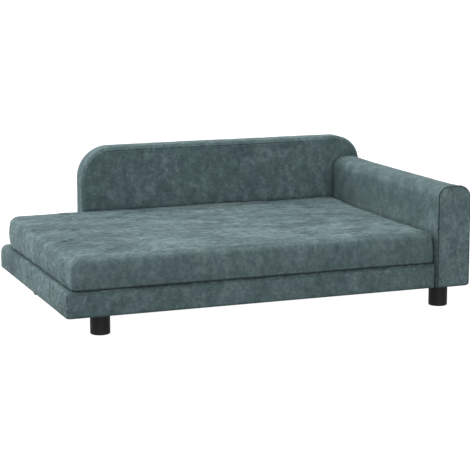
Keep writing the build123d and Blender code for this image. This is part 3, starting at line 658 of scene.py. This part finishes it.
def build_cushion():
    coarse, faces = cushion_shell(
        lines(CX0, CX1, 0.010), lines(CY0, CY1, 0.010), lines(CZ0, CZ1, 0.009)
    )
    d = cushion_outline(coarse)
    pin = np.where(coarse[:, 2] < CZ0 + 0.004, 1.0, 0.0)
    pin = np.maximum(pin, 0.25 * np.exp(-(((coarse[:, 2] - CZ0 - 0.009) / 0.006) ** 2)))
    corner = np.minimum(
        np.minimum(np.abs(coarse[:, 0] - CX0), np.abs(coarse[:, 0] - CX1)),
        10,
    ) + np.minimum(np.abs(coarse[:, 1] - CY0), np.abs(coarse[:, 1] - CY1))
    pin = np.maximum(pin, np.where((d > -0.002) & (corner < 0.020), 0.35, 0))
    start = coarse.copy()
    start[:, 2] = CZ0 + (start[:, 2] - CZ0) * 0.985
    moved = inflate(start, faces, pin, 4.0, 18, 0.0055, bending=1.2, grow=0.012)

    def both(*values):
        return tuple(v + o for v in values for o in (-9e-4, -2e-4, 2e-4, 9e-4))

    fine_u = lines(CX0, CX1, 0.0034, EDGE, EDGE, both(ZX0, ZX1, HX0, HX1))
    fine_v = lines(CY0, CY1, 0.0026, EDGE, EDGE)
    fine_w = lines(CZ0, CZ1, 0.0032, EDGE[:7], EDGE[:5], both(ZZ0, ZZ1, HZ0, HZ1))
    rest, faces = cushion_shell(fine_u, fine_v, fine_w)
    ob = make("cushion_velvet", rest, faces)
    rest = points(ob)
    n = normals(ob)
    x, y, z = rest.T
    sim = carry(rest, coarse, moved, 0.009)
    height = (z - CZ0) / (CZ1 - CZ0)
    top = step(n[:, 2], 0.3, 0.95)
    side = 1 - step(np.abs(n[:, 2]), 0.25, 0.9)
    left = step(-n[:, 0], 0.5, 0.95)
    right = step(n[:, 0], 0.3, 0.8)
    front = step(-n[:, 1], 0.5, 0.95)
    back = step(n[:, 1], 0.3, 0.8)

    # the foam's edges sink a little more than its middle
    lift = np.zeros(len(rest))
    inner = -cushion_outline(rest)
    lift += top * 0.0016 * (step(inner, 0.0, 0.13) - 1.0) * (1 - 1.4 * step(y, 0.05, 0.22))
    # sides swell between the corners and between top and bottom
    belly = np.sin(np.clip(height, 0, 1) * math.pi) ** 1.3
    along_x = np.sin(np.clip((x - CX0) / (CX1 - CX0), 0, 1) * math.pi) ** 0.4
    along_y = np.sin(np.clip((y - CY0) / (CY1 - CY0), 0.01, 0.99) * math.pi) ** 0.22
    lift += left * (belly * along_y * 0.0068 + side * 0.0016)
    lift += front * belly * along_x * 0.0022
    # and tuck in towards the seam round the bottom
    tuck = 1 - step(height, 0.02, 0.34)
    lift -= (left * 0.0012 + front * 0.0022) * side * tuck
    # short shallow wrinkles that wander along the length
    bent = rest + 0.012 * np.stack([noise(rest * 14, s) for s in (3, 4, 5)], 1)
    bent += 0.004 * np.stack([noise(rest * 45, s) for s in (6, 7, 8)], 1)
    ridge = waves(bent, (20, 62, 20), 5, 2)
    lift += top * 0.00085 * np.where(ridge > 0, ridge * 0.6, ridge)
    lift += top * 0.00120 * waves(bent, (6, 17, 8), 9, 2)
    # a few longer pulls that slant towards the front right
    lift -= top * step(x, -0.05, 0.15) * 0.0011 * np.exp(
        -((waves(bent, (3.5, 24, 8), 15, 1) / 0.10) ** 2)
    )
    # upright puckers on the left end and, weaker, on the front
    low = 1 - step(height, 0.35, 1.0)
    apart = step(y, CY0 + 0.006, CY0 + 0.040)
    lift += side * left * apart * (0.35 + 0.65 * low) * 0.0019 * waves(rest, (5, 36, 5), 21, 2)
    lift += side * front * (0.30 + 0.70 * low) * 0.00045 * waves(rest, (22, 5, 6), 25, 2)
    # loose soft unevenness everywhere
    lift += (1 - back) * 0.0006 * waves(rest, (12, 14, 12), 31, 3)

    # short creases pressed into the top: place, half length, turn, depth, width
    wear_and_crease_shade = np.zeros(len(rest))
    pick = np.random.default_rng(11)
    small = [
        (pick.uniform(-0.40, 0.34), pick.uniform(-0.24, 0.21), pick.uniform(0.007, 0.026),
         pick.normal(0.0, 0.45), pick.uniform(0.0005, 0.0013), pick.uniform(0.0026, 0.0052))
        for _ in range(64)
    ] + [
        (pick.uniform(-0.34, 0.12), pick.uniform(0.11, 0.232), pick.uniform(0.007, 0.022),
         pick.normal(-0.1, 0.45), pick.uniform(0.0009, 0.0017), pick.uniform(0.0028, 0.0050))
        for _ in range(34)
    ]
    for cx, cy, half, turn, depth, wide in CREASES + small:
        ux, uy = math.cos(turn), math.sin(turn)
        s = (x - cx) * ux + (y - cy) * uy
        t = -(x - cx) * uy + (y - cy) * ux + 0.004 * np.sin(s / max(half, 1e-3) * 2.2)
        fade = np.exp(-((s / half) ** 4))
        lift -= top * depth * fade * np.exp(-((t / wide) ** 2))
        lift += top * 0.55 * depth * fade * np.exp(-(((np.abs(t) - 2.1 * wide) / (1.3 * wide)) ** 2))
        # painted shade along each crease
        wear_and_crease_shade = np.maximum(wear_and_crease_shade, top * fade * np.exp(-((t / wide) ** 2)) * np.minimum(depth / 0.0042, 0.72))

    # the seam up each corner and the one round the bottom
    near = np.minimum(np.abs(x - CX0), np.abs(x - CX1)) - np.minimum(np.abs(y - CY0), np.abs(y - CY1))
    at_corner = (cushion_outline(rest) > -0.012) & (np.hypot(
        np.minimum(np.abs(x - CX0), np.abs(x - CX1)), np.minimum(np.abs(y - CY0), np.abs(y - CY1))
    ) < 0.016)
    seam_and_shade = np.where(at_corner, np.exp(-((near / 0.0016) ** 2)), 0) * (1 - step(height, 0.62, 0.86))
    lift -= 0.0004 * seam_and_shade
    lift += 0.0003 * np.where(at_corner, np.exp(-(((np.abs(near) - 0.0042) / 0.002) ** 2)), 0) * (
        1 - step(height, 0.62, 0.86)
    )
    ring = np.where(side > 0.05, np.exp(-(((z - CZ0 - 0.0085) / 0.0013) ** 2)), 0)
    lift -= 0.0005 * ring

    # foam holds the top nearly flat and the sides out
    out = (sim * n).sum(1)
    along = sim - n * out[:, None]
    firm = np.where(out < 0, 0.15 * out, 0.6 * out)
    firm = top * 0.0022 * np.tanh(out / 0.0060) + (1 - top) * firm
    moves = 0.25 * along + n * (firm + lift)[:, None]
    # clear of the arm, of the zip and of the back board
    moves[:, 0] = np.where(right > 0, np.minimum(moves[:, 0], 0.0008), moves[:, 0])
    calm = 1 - back * (1 - step(np.abs(z - 0.147), 0.010, 0.026))
    moves[:, 1] = np.where(
        (back > 0) & (moves[:, 1] > 0), np.minimum(moves[:, 1] * calm, 0.0002), moves[:, 1] * calm
    )
    moves[:, 0] = np.where(back > 0.9, moves[:, 0] * calm, moves[:, 0])
    moves[:, 2] = np.where(back > 0.9, moves[:, 2] * calm, moves[:, 2])
    p = rest + moves
    # the bottom lies flat on the platform
    p[:, 2] = np.maximum(p[:, 2], CZ0)
    # channel for the zip, and the pocket behind its tapes
    slot = (y > CY1 - 1e-4) & (x > HX0) & (x < HX1) & (z > HZ0) & (z < HZ1)
    p[slot, 1] = 0.238
    slot &= (x > ZX0) & (x < ZX1) & (z > ZZ0) & (z < ZZ1)
    p[slot, 1] = 0.2358
    set_points(ob, p)
    # broad strokes where the pile was last brushed one way or the other
    brushed = top * step(x, -0.42, -0.22) * waves(bent, (7, 24, 8), 95, 3)
    # dark seam lines with painted shade in their grooves; painted shade in the creases, round the bottom where the
    # cushion meets the platform and on the right end against the arm; the darker brushed strokes are the pile's own
    # tone
    mark_seams_and_shade(ob, 0.10 * seam_and_shade + 0.25 * ring + wear_and_crease_shade + 0.95 * (1 - step(z, CZ0 + 0.001, CZ0 + 0.0055 + 0.0030 * left))
               + 0.30 * np.maximum(-brushed, 0)
               + 0.8 * right * step(x, CX1 - 0.003, CX1 - 0.0005))
    # paler where the pile was brushed one way; painted light on the left end, strongest towards the bottom
    mark_brushed_and_lit(ob, 0.55 * np.maximum(brushed, 0)
              + left * (0.52 + 0.55 * (1 - step(height, 0.25, 0.85)) + 0.24 * waves(rest, (9, 26, 9), 83, 2)))
    calmer = 1 - 0.55 * (1 - step(y, CY0 + 0.004, CY0 + 0.040))
    mark_tops(ob, np.maximum(step(n[:, 2], 0.20, 0.95), 0.85 * left) * calmer)
    dress(ob, VELVET, "cushion")
    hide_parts("cushion_cover", "cushion_bottom_panel", "cushion_foam")
    return ob


CREASES = [
    (-0.391, -0.106, 0.019, 0.61, 0.0030, 0.0044),
    (0.258, -0.017, 0.080, -0.21, 0.0012, 0.0060),
    (-0.300, 0.100, 0.060, -0.08, 0.0005, 0.0040),
    (-0.120, -0.020, 0.080, 0.06, 0.0004, 0.0045),
    (0.160, 0.090, 0.100, -0.05, 0.0005, 0.0050),
    (0.235, -0.110, 0.070, 0.10, 0.0005, 0.0040),
    (0.180, -0.115, 0.070, -0.06, 0.0005, 0.0042),
    (0.020, 0.170, 0.090, 0.04, 0.0004, 0.0045),
]
cushion = build_cushion()


# ---------------------------------------------------------------- zip
def build_coil():
    """Loops of a closed coil zip: bars from both tapes that lock in the middle."""
    x0, x1, y0, y1, zm = -0.3966, 0.3316, 0.2368, 0.2386, 0.147
    pitch, half = 0.00105, 0.00042
    count = int((x1 - x0 - 0.001) / pitch)
    ring = [math.radians(a) for a in (0, 60, 120, 180, 240, 300)]
    verts, faces = [], []
    for k in range(count):
        cx, side = x0 + 0.0005 + (k + 0.5) * pitch, 1 if k % 2 else -1
        # along the bar: distance from the middle line, slant, thickness
        stations = ((0.00238, 0.0, 0.55), (0.0021, 0.0, 0.95), (0.0005, 0.3, 1.0), (-0.0006, 0.35, 1.05), (-0.0010, 0.35, 0.6))
        base = len(verts)
        for along, slant, size in stations:
            for a in ring:
                verts.append((
                    cx + (slant * 0.0004) + half * size * math.cos(a),
                    (y0 + y1) / 2 + 0.5 * (y1 - y0) * size * 0.93 * math.sin(a),
                    zm + side * along,
                ))
        for i in range(len(stations) - 1):
            for j in range(6):
                a, b = base + i * 6 + j, base + i * 6 + (j + 1) % 6
                faces.append([a, b, b + 6, a + 6])
        faces.append([base + j for j in range(6)][::-1])
        faces.append([base + (len(stations) - 1) * 6 + j for j in range(6)])
    ob = make("zip_loops", verts, faces)
    dress(ob, finish["zip_coil"], "cushion")
    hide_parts("zip_coil")
    return ob


coil = build_coil()


# ---------------------------------------------------------------- platform
PX0, PX1, PY0, PY1, PZ0, PZ1 = -0.450, 0.3727, -0.2925, 0.2975, 0.056, 0.109
PLATFORM_RECT = (PX0, PX1, PY0, PY1)
PLATFORM_CORNERS = (0.009, 0.012, 0.012, 0.016)


def platform_outline(q):
    return outline_distance(q, PLATFORM_RECT, PLATFORM_CORNERS)


def platform_edge(q):
    """Radius of the upper edge: the padding slumps more at the free rear corner
    and is pressed flat under the back board."""
    free = 0.009 * step(-q[:, 0], 0.36, 0.44) * step(q[:, 1], 0.20, 0.28)
    return 0.0075 + free - 0.0040 * step(q[:, 0], -0.283, -0.259) * step(q[:, 1], 0.20, 0.26)


def build_platform():
    def form(us, vs, ws):
        p, faces = shell(us, vs, ws)
        p = bend_corners(p, PLATFORM_RECT, PLATFORM_CORNERS)
        return roll_edges(p, platform_outline, PZ0, PZ1, 0.0018, platform_edge), faces

    coarse, faces = form(lines(PX0, PX1, 0.011), lines(PY0, PY1, 0.011), lines(PZ0, PZ1, 0.009))
    pin = np.where(coarse[:, 2] < PZ0 + 0.003, 1.0, 0.0)
    pin = np.maximum(pin, np.where(coarse[:, 0] > PX1 - 1e-4, 1.0, 0.0))
    moved = inflate(coarse, faces, pin, 2.0, 12, 0.0016, bending=2.0, grow=0.004)
    fine_rim = [0.0008 * k for k in range(1, 24)]
    us = lines(PX0, PX1, 0.0065, fine_rim, EDGE[:6])
    vs = lines(PY0, PY1, 0.0065, fine_rim, EDGE[:8])
    ws = lines(PZ0, PZ1, 0.0045, EDGE[:3], EDGE[:7])
    rest, faces = form(us, vs, ws)
    ob = make("platform_velvet", rest, faces)
    rest = points(ob)
    n = normals(ob)
    x, y, z = rest.T
    sim = carry(rest, coarse, moved, 0.010)
    side = 1 - step(np.abs(n[:, 2]), 0.25, 0.9)
    top = step(n[:, 2], 0.3, 0.95)
    height = np.clip((z - PZ0) / (PZ1 - PZ0), 0, 1)
    lift = side * 0.0008 * np.sin(height * math.pi)
    lift += (side + top) * 0.00045 * waves(rest, (9, 9, 9), 41, 3)
    # the velvet is drawn down over the rails, so faint pulls rise from the lower edge
    low = 1 - step(height, 0.0, 0.8)
    lift += side * low * 0.00035 * waves(rest, (26, 26, 5), 45, 2)
    # the corner is folded: a shallow line down each outer edge
    near = np.minimum(np.abs(x - PX0), np.abs(x - PX1)) - np.minimum(np.abs(y - PY0), np.abs(y - PY1))
    close = np.hypot(
        np.minimum(np.abs(x - PX0), np.abs(x - PX1)), np.minimum(np.abs(y - PY0), np.abs(y - PY1))
    ) < 0.009
    lift -= 0.0006 * side * np.where(close, np.exp(-((near / 0.0012) ** 2)), 0) * (1 - step(height, 0.8, 0.98))
    moves = sim + n * lift[:, None]
    right = n[:, 0] > 0.5
    moves[right, 0] = np.minimum(moves[right, 0], 0.0)
    # nothing presses up into the cushion
    moves[:, 2] = np.where((x > CX0 - 0.004) & (y > CY0 - 0.004) & (n[:, 2] > 0.5),
                           np.minimum(moves[:, 2], 0.0), moves[:, 2])
    p = rest + moves
    p[:, 2] = np.maximum(p[:, 2], PZ0)
    set_points(ob, p)
    # painted shade: dark where the cushion's edge meets the platform, along the bottom edge, and on the left towards
    # the rear
    rim = outline_distance(rest, (CX0 + 0.003, CX1, CY0 + 0.003, CY1), (0.012,) * 4)
    contact_shade = (n[:, 2] > 0.2) * np.exp(-((rim / 0.0068) ** 2)) * (1 - step(y, 0.19, 0.23))
    mark_seams_and_shade(ob, 0.95 * contact_shade + 0.45 * (1 - step(z, PZ0 + 0.001, PZ0 + 0.006))
               + 0.16 * step(y, 0.10, 0.27) * (x < CX0))
    # painted light: the left faces are made paler, in uneven patches
    mark_brushed_and_lit(ob, step(-n[:, 0], 0.5, 0.95) * (0.12 + 0.62 * waves(rest, (9, 15, 9), 91, 2)))
    mark_tops(ob, np.maximum(step(n[:, 2], 0.3, 0.9), step(-n[:, 0], 0.5, 0.95)))
    dress(ob, VELVET_BODY, "frame")
    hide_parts("base_cover", "base_deck_foam", "base_front_padding", "base_rear_padding",
                "base_left_padding", "base_right_padding")
    return ob


platform = build_platform()


# ---------------------------------------------------------------- arm
AX0, AX1, AY0, AY1, AZ0, AZ1 = 0.373, 0.450, -0.2975, 0.2462, 0.056, 0.277
ARM_RECT = (AX0, AX1, AZ0, AZ1)
ARM_CORNERS = (0.0025, 0.0065, 0.0285, 0.025)


def arm_outline(q):
    return outline_distance(q, ARM_RECT, ARM_CORNERS)


def build_arm():
    edge = 0.0045

    def form(us, vs, ws):
        p, faces = shell(us, vs, ws)
        p = bend_corners(p, ARM_RECT, ARM_CORNERS)
        return roll_edges(p, arm_outline, AY0, AY1, edge, 0.002), faces

    coarse, faces = form(lines(AX0, AX1, 0.0085), lines(AZ0, AZ1, 0.009), lines(AY0, AY1, 0.010))
    d = arm_outline(coarse)
    rim = np.exp(-(((coarse[:, 2] - AY0 - 0.002) / 0.004) ** 2)) * (d > -0.006)
    pin = np.maximum(rim, np.where(coarse[:, 2] > AY1 - 0.004, 1.0, 0.0))
    pin = np.maximum(pin, np.where(coarse[:, 1] < AZ0 + 0.002, 1.0, 0.0))
    world = to_world(coarse, "y")
    moved = inflate(world, faces, pin, 3.0, 14, 0.0024, bending=1.5, grow=0.006)
    us = lines(AX0, AX1, 0.0050, EDGE[:9], EDGE[:9])
    vs = lines(AZ0, AZ1, 0.0055, EDGE[:7], EDGE[:9])
    ws = lines(AY0, AY1, 0.0060, EDGE, EDGE[:3])
    local, faces = form(us, vs, ws)
    rest = to_world(local, "y")
    ob = make("arm_velvet", rest, faces)
    rest = points(ob)
    n = normals(ob)
    local = to_local(rest, "y")
    x, y, z = rest.T
    sim = carry(rest, world, moved, 0.008)
    a, b = arm_outline(local), y - AY0
    # the seam sits on the turn between the front facing and the sleeve
    k = edge * (1 - math.sqrt(0.5))
    s = np.sign(b + a) * np.hypot(a + k, b - k)
    near = (np.abs(s) < 0.012) & (b < 0.012)
    lift = np.where(near & (z > AZ0 + 0.003), seam_shape(s, 0.0024, 0.0011), 0)
    # dark seam line: the thread, with painted shade in its groove
    dark = np.where(near, np.exp(-((s / 0.0013) ** 2)), 0)
    face = step(-n[:, 1], 0.6, 0.95)
    round_ = 1 - step(np.abs(n[:, 1]), 0.2, 0.7)
    lift += face * 0.0012 * step(-a, 0.0, 0.03)
    lift += (face + round_) * 0.00040 * waves(rest, (12, 12, 12), 61, 3)
    # short gathers that run out from the seam over the curved top
    high = step(z, AZ1 - 0.045, AZ1 - 0.010)
    turn = np.arctan2(x - (AX0 + AX1) / 2, z - (AZ1 - 0.030))
    lift += face * high * 0.00035 * np.sin(turn * 21 + 1.3 * noise(rest * 60, 3)) * np.exp(-((a + 0.008) / 0.010) ** 2)
    lift += round_ * high * 0.00022 * np.sin(turn * 17) * np.exp(-b / 0.018)
    moves = sim + n * lift[:, None]
    inner = n[:, 0] < -0.3
    moves[inner, 0] = np.maximum(moves[inner, 0], -0.0010)
    moves[:, 0] = np.where(n[:, 0] > 0.3, 0.35 * moves[:, 0] + 0.0012 * step(n[:, 0], 0.3, 0.9), moves[:, 0])
    moves[:, 1] = np.where(n[:, 1] < -0.3, 0.5 * moves[:, 1], moves[:, 1])
    rear = y > AY1 - 0.003
    moves[rear, 1] = np.minimum(moves[rear, 1], 0.0)
    p = rest + moves
    p[:, 2] = np.maximum(p[:, 2], AZ0)
    # flat against the platform's end
    low = (n[:, 0] < -0.5) & (z < PZ1 + 0.002)
    p[low, 0] = np.maximum(p[low, 0], AX0)
    set_points(ob, p)
    # a dark line low across the front facing; painted shade along the inner edge where the arm meets the back board,
    # and along the inner face where the cushion's top meets it
    dark += 0.40 * face * np.exp(-(((z - AZ0 - 0.0046) / 0.0011) ** 2)) * (a > -0.2)
    dark += 0.55 * (1 - step(x, AX0 + 0.010, AX0 + 0.030)) * step(y, AY1 - 0.004, AY1 - 0.0015)
    dark += 0.50 * inner * np.exp(-(((z - 0.1735) / 0.0034) ** 2)) * step(y, CY0 + 0.004, CY0 + 0.020)
    mark_seams_and_shade(ob, np.minimum(dark, 1.0))
    # painted light: the front facing is made paler
    mark_brushed_and_lit(ob, 0.40 * face)
    dress(ob, VELVET_ARM, "frame")
    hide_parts("arm_cover", "arm_front_facing", "arm_front_foam", "arm_top_foam",
                "arm_inner_foam", "arm_outer_foam")
    return ob


arm = build_arm()


# ---------------------------------------------------------------- back board
BX0, BX1, BY0, BY1, BZ0, BZ1 = -0.263, 0.4435, 0.2465, 0.2975, 0.056, 0.327
TAIL_X, SEAT_Z = 0.3733, 0.1090
BACK_RECT = (BX0, BX1, BZ0, BZ1)
BACK_CORNERS = (0.001, 0.003, 0.064, 0.075)


def back_outline(q):
    whole = outline_distance(q, BACK_RECT, BACK_CORNERS)
    notch = np.maximum(q[:, 0] - TAIL_X, q[:, 1] - SEAT_Z)  # negative in the corner left out
    return np.maximum(whole, -notch)


def build_back():
    edge, rear_edge = 0.0090, 0.0045

    def form(us, vs, ws):
        p, faces = shell(us, vs, ws, lambda u, v: u > TAIL_X or v > SEAT_Z)
        p = bend_corners(p, BACK_RECT, BACK_CORNERS)
        return roll_edges(p, back_outline, BY0, BY1, edge, rear_edge), faces

    coarse, faces = form(
        lines(BX0, BX1, 0.010, extra=(TAIL_X,)),
        lines(BZ0, BZ1, 0.010, extra=(SEAT_Z,)),
        lines(BY0, BY1, 0.0085),
    )
    d = back_outline(coarse)
    b = np.minimum(coarse[:, 2] - BY0, BY1 - coarse[:, 2])
    rim = np.exp(-(((b - 0.001) / 0.003) ** 2)) * (d > -0.005)
    pin = np.maximum(rim, np.where(coarse[:, 1] < SEAT_Z + 0.001, 1.0, 0.0))
    world = to_world(coarse, "y")
    moved = inflate(world, faces, pin, 3.0, 14, 0.0030, bending=1.5, grow=0.004)
    rim_lines = [0.0006 * k for k in range(1, 27)]
    us = lines(BX0, BX1, 0.0060, rim_lines, rim_lines, (TAIL_X,))
    vs = lines(BZ0, BZ1, 0.0055, EDGE[:5], rim_lines, (SEAT_Z,))
    ws = lines(BY0, BY1, 0.0045, EDGE[:9], EDGE[:9])
    local, faces = form(us, vs, ws)
    rest = to_world(local, "y")
    ob = make("back_velvet", rest, faces)
    rest = points(ob)
    n = normals(ob)
    local = to_local(rest, "y")
    x, y, z = rest.T
    sim = carry(rest, world, moved, 0.009)
    a = back_outline(local)
    lift, dark = np.zeros(len(rest)), np.zeros(len(rest))
    for b, edge in ((y - BY0, edge), (BY1 - y, rear_edge)):
        # distance from the seam, which lies just inside the face
        s = np.where(a < -edge, a + edge, edge * np.arctan2(a + edge, edge - b)) + 0.0006
        near = (np.abs(s) < 0.012) & (b < edge + 1e-4) & (z > SEAT_Z + 0.002)
        lift += np.where(near, seam_shape(s, 0.0009, 0.0007, 0.0021, 0.0006), 0)
        lift -= np.where(near, 0.0004 * np.exp(-(((s + 0.0060) / 0.0009) ** 2)), 0)
        # dark seam lines: the thread, with painted shade in their grooves
        dark += np.where(near, 0.16 * np.exp(-((s / 0.0009) ** 2)), 0)
        dark += np.where(near, 0.10 * np.exp(-(((s + 0.0060) / 0.0009) ** 2)), 0)
    face = step(np.abs(n[:, 1]), 0.6, 0.95)
    lift += face * 0.0006 * step(-a, 0.0, 0.05)
    lift += 0.00040 * waves(rest, (10, 10, 10), 71, 3)
    moves = sim + n * lift[:, None]
    # flat where it stands on the platform and where the arm meets it
    foot = z < SEAT_Z + 0.0015
    moves[foot] *= 0.0
    behind = (x > 0.366) & (z < 0.285) & (n[:, 1] < -0.4)
    moves[behind, 1] = np.maximum(moves[behind, 1], 0.0)
    # the front stays clear of the cushion's back; the ends keep their line
    front = n[:, 1] < -0.4
    moves[:, 1] = np.where(front & ~foot, np.maximum(moves[:, 1] + 0.0009, -0.0003), moves[:, 1])
    moves[:, 0] = np.where(n[:, 0] < -0.4, np.maximum(moves[:, 0], -0.0004), moves[:, 0])
    set_points(ob, rest + moves)
    # the shadowed line round the arm's end
    arm_side = arm_outline(np.stack([x, z, y], 1)) - 0.0006
    dark += front * 0.9 * np.exp(-((arm_side / 0.0022) ** 2)) * (1 - step(x, 0.385, 0.405)) * (z > SEAT_Z)
    # painted shade: a dark line where the cushion's top meets the board, and a darker band fading upwards above it
    dark += front * (0.70 * np.exp(-(((z - 0.1780) / 0.0042) ** 2)) + 0.16 * (1 - step(z, 0.180, 0.215)))
    mark_seams_and_shade(ob, np.minimum(dark, 1.0))
    # round openings for the key that turns the arm's bolts
    for i, height in enumerate((0.120, 0.205)):
        bpy.ops.mesh.primitive_cylinder_add(
            vertices=40, radius=0.0098, depth=0.020,
            location=(0.413, 0.2869 + 0.010 - 0.0012, height), rotation=(math.pi / 2, 0, 0),
        )
        tool = bpy.context.object
        cut = ob.modifiers.new("opening", "BOOLEAN")
        cut.operation, cut.object, cut.solver = "DIFFERENCE", tool, "EXACT"
        dg = bpy.context.evaluated_depsgraph_get()
        mesh = bpy.data.meshes.new_from_object(ob.evaluated_get(dg))
        ob.modifiers.remove(cut)
        ob.data = mesh
        bpy.data.objects.remove(tool)
    dress(ob, VELVET_BACK, "frame")
    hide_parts("back_front_cover", "back_border_cover", "back_rear_cover", "back_front_foam",
                "back_rear_foam", "back_edge_padding")
    return ob


back = build_back()


# ---------------------------------------------------------------- stage
bpy.ops.mesh.primitive_plane_add(size=160, location=(0, 0, 0))
floor = bpy.context.object
floor.name = "floor"
n = Nodes("floor")
tone = n.mix(n.spread(n.noise(3.0, 3.0, 0.5), 0.3, 0.7), (0.16, 0.16, 0.16), (0.17, 0.17, 0.17))
n.bsdf.inputs["Emission Color"].default_value = (1, 1, 1, 1)
n.bsdf.inputs["Emission Strength"].default_value = 1.0
floor.data.materials.append(n.set(colour=tone, rough=0.9, specular=0.1))
floor.visible_diffuse = False
floor.visible_glossy = False

world = bpy.data.worlds.new("studio")
scene.world = world
world.use_nodes = True
world.node_tree.nodes["Background"].inputs["Color"].default_value = (0.96, 0.98, 1.0, 1)
world.node_tree.nodes["Background"].inputs["Strength"].default_value = 0.41


def sun(name, towards, strength, angle, colour=(1, 1, 1)):
    """A soft light from a direction: towards is the unit vector from the object to it."""
    data = bpy.data.lights.new(name, "SUN")
    data.energy, data.angle, data.color = strength, math.radians(angle), colour
    ob = bpy.data.objects.new(name, data)
    scene.collection.objects.link(ob)
    ob.rotation_mode = "QUATERNION"
    ob.rotation_quaternion = Vector(towards).to_track_quat("Z", "Y")
    ob.location = Vector(towards).normalized() * 4


sun("overhead", (-0.20, 0.10, 1.0), 1.80, 75)
sun("left", (-1.0, 0.60, 0.65), 1.90, 50)
sun("front", (-0.15, -1.0, 0.55), 1.23, 60)

camera = bpy.data.cameras.new("camera")
camera.sensor_width = 36
camera.lens = 122.130
camera.clip_start, camera.clip_end = 0.1, 400
eye = bpy.data.objects.new("camera", camera)
scene.collection.objects.link(eye)
yaw, pitch, roll = (math.radians(a) for a in (21.0872, 10.1784, -0.1360))
ahead = Vector((math.sin(yaw) * math.cos(pitch), math.cos(yaw) * math.cos(pitch), -math.sin(pitch)))
right0 = Vector((math.cos(yaw), -math.sin(yaw), 0))
up0 = right0.cross(ahead)
right1 = right0 * math.cos(roll) + up0 * math.sin(roll)
up1 = up0 * math.cos(roll) - right0 * math.sin(roll)
turn = Matrix((right1, up1, -ahead)).transposed().to_4x4()
eye.matrix_world = Matrix.Translation((-1.24663, -3.28393, 0.77866)) @ turn
scene.camera = eye
scene.view_settings.view_transform = "Standard"
scene.view_settings.look = "None"
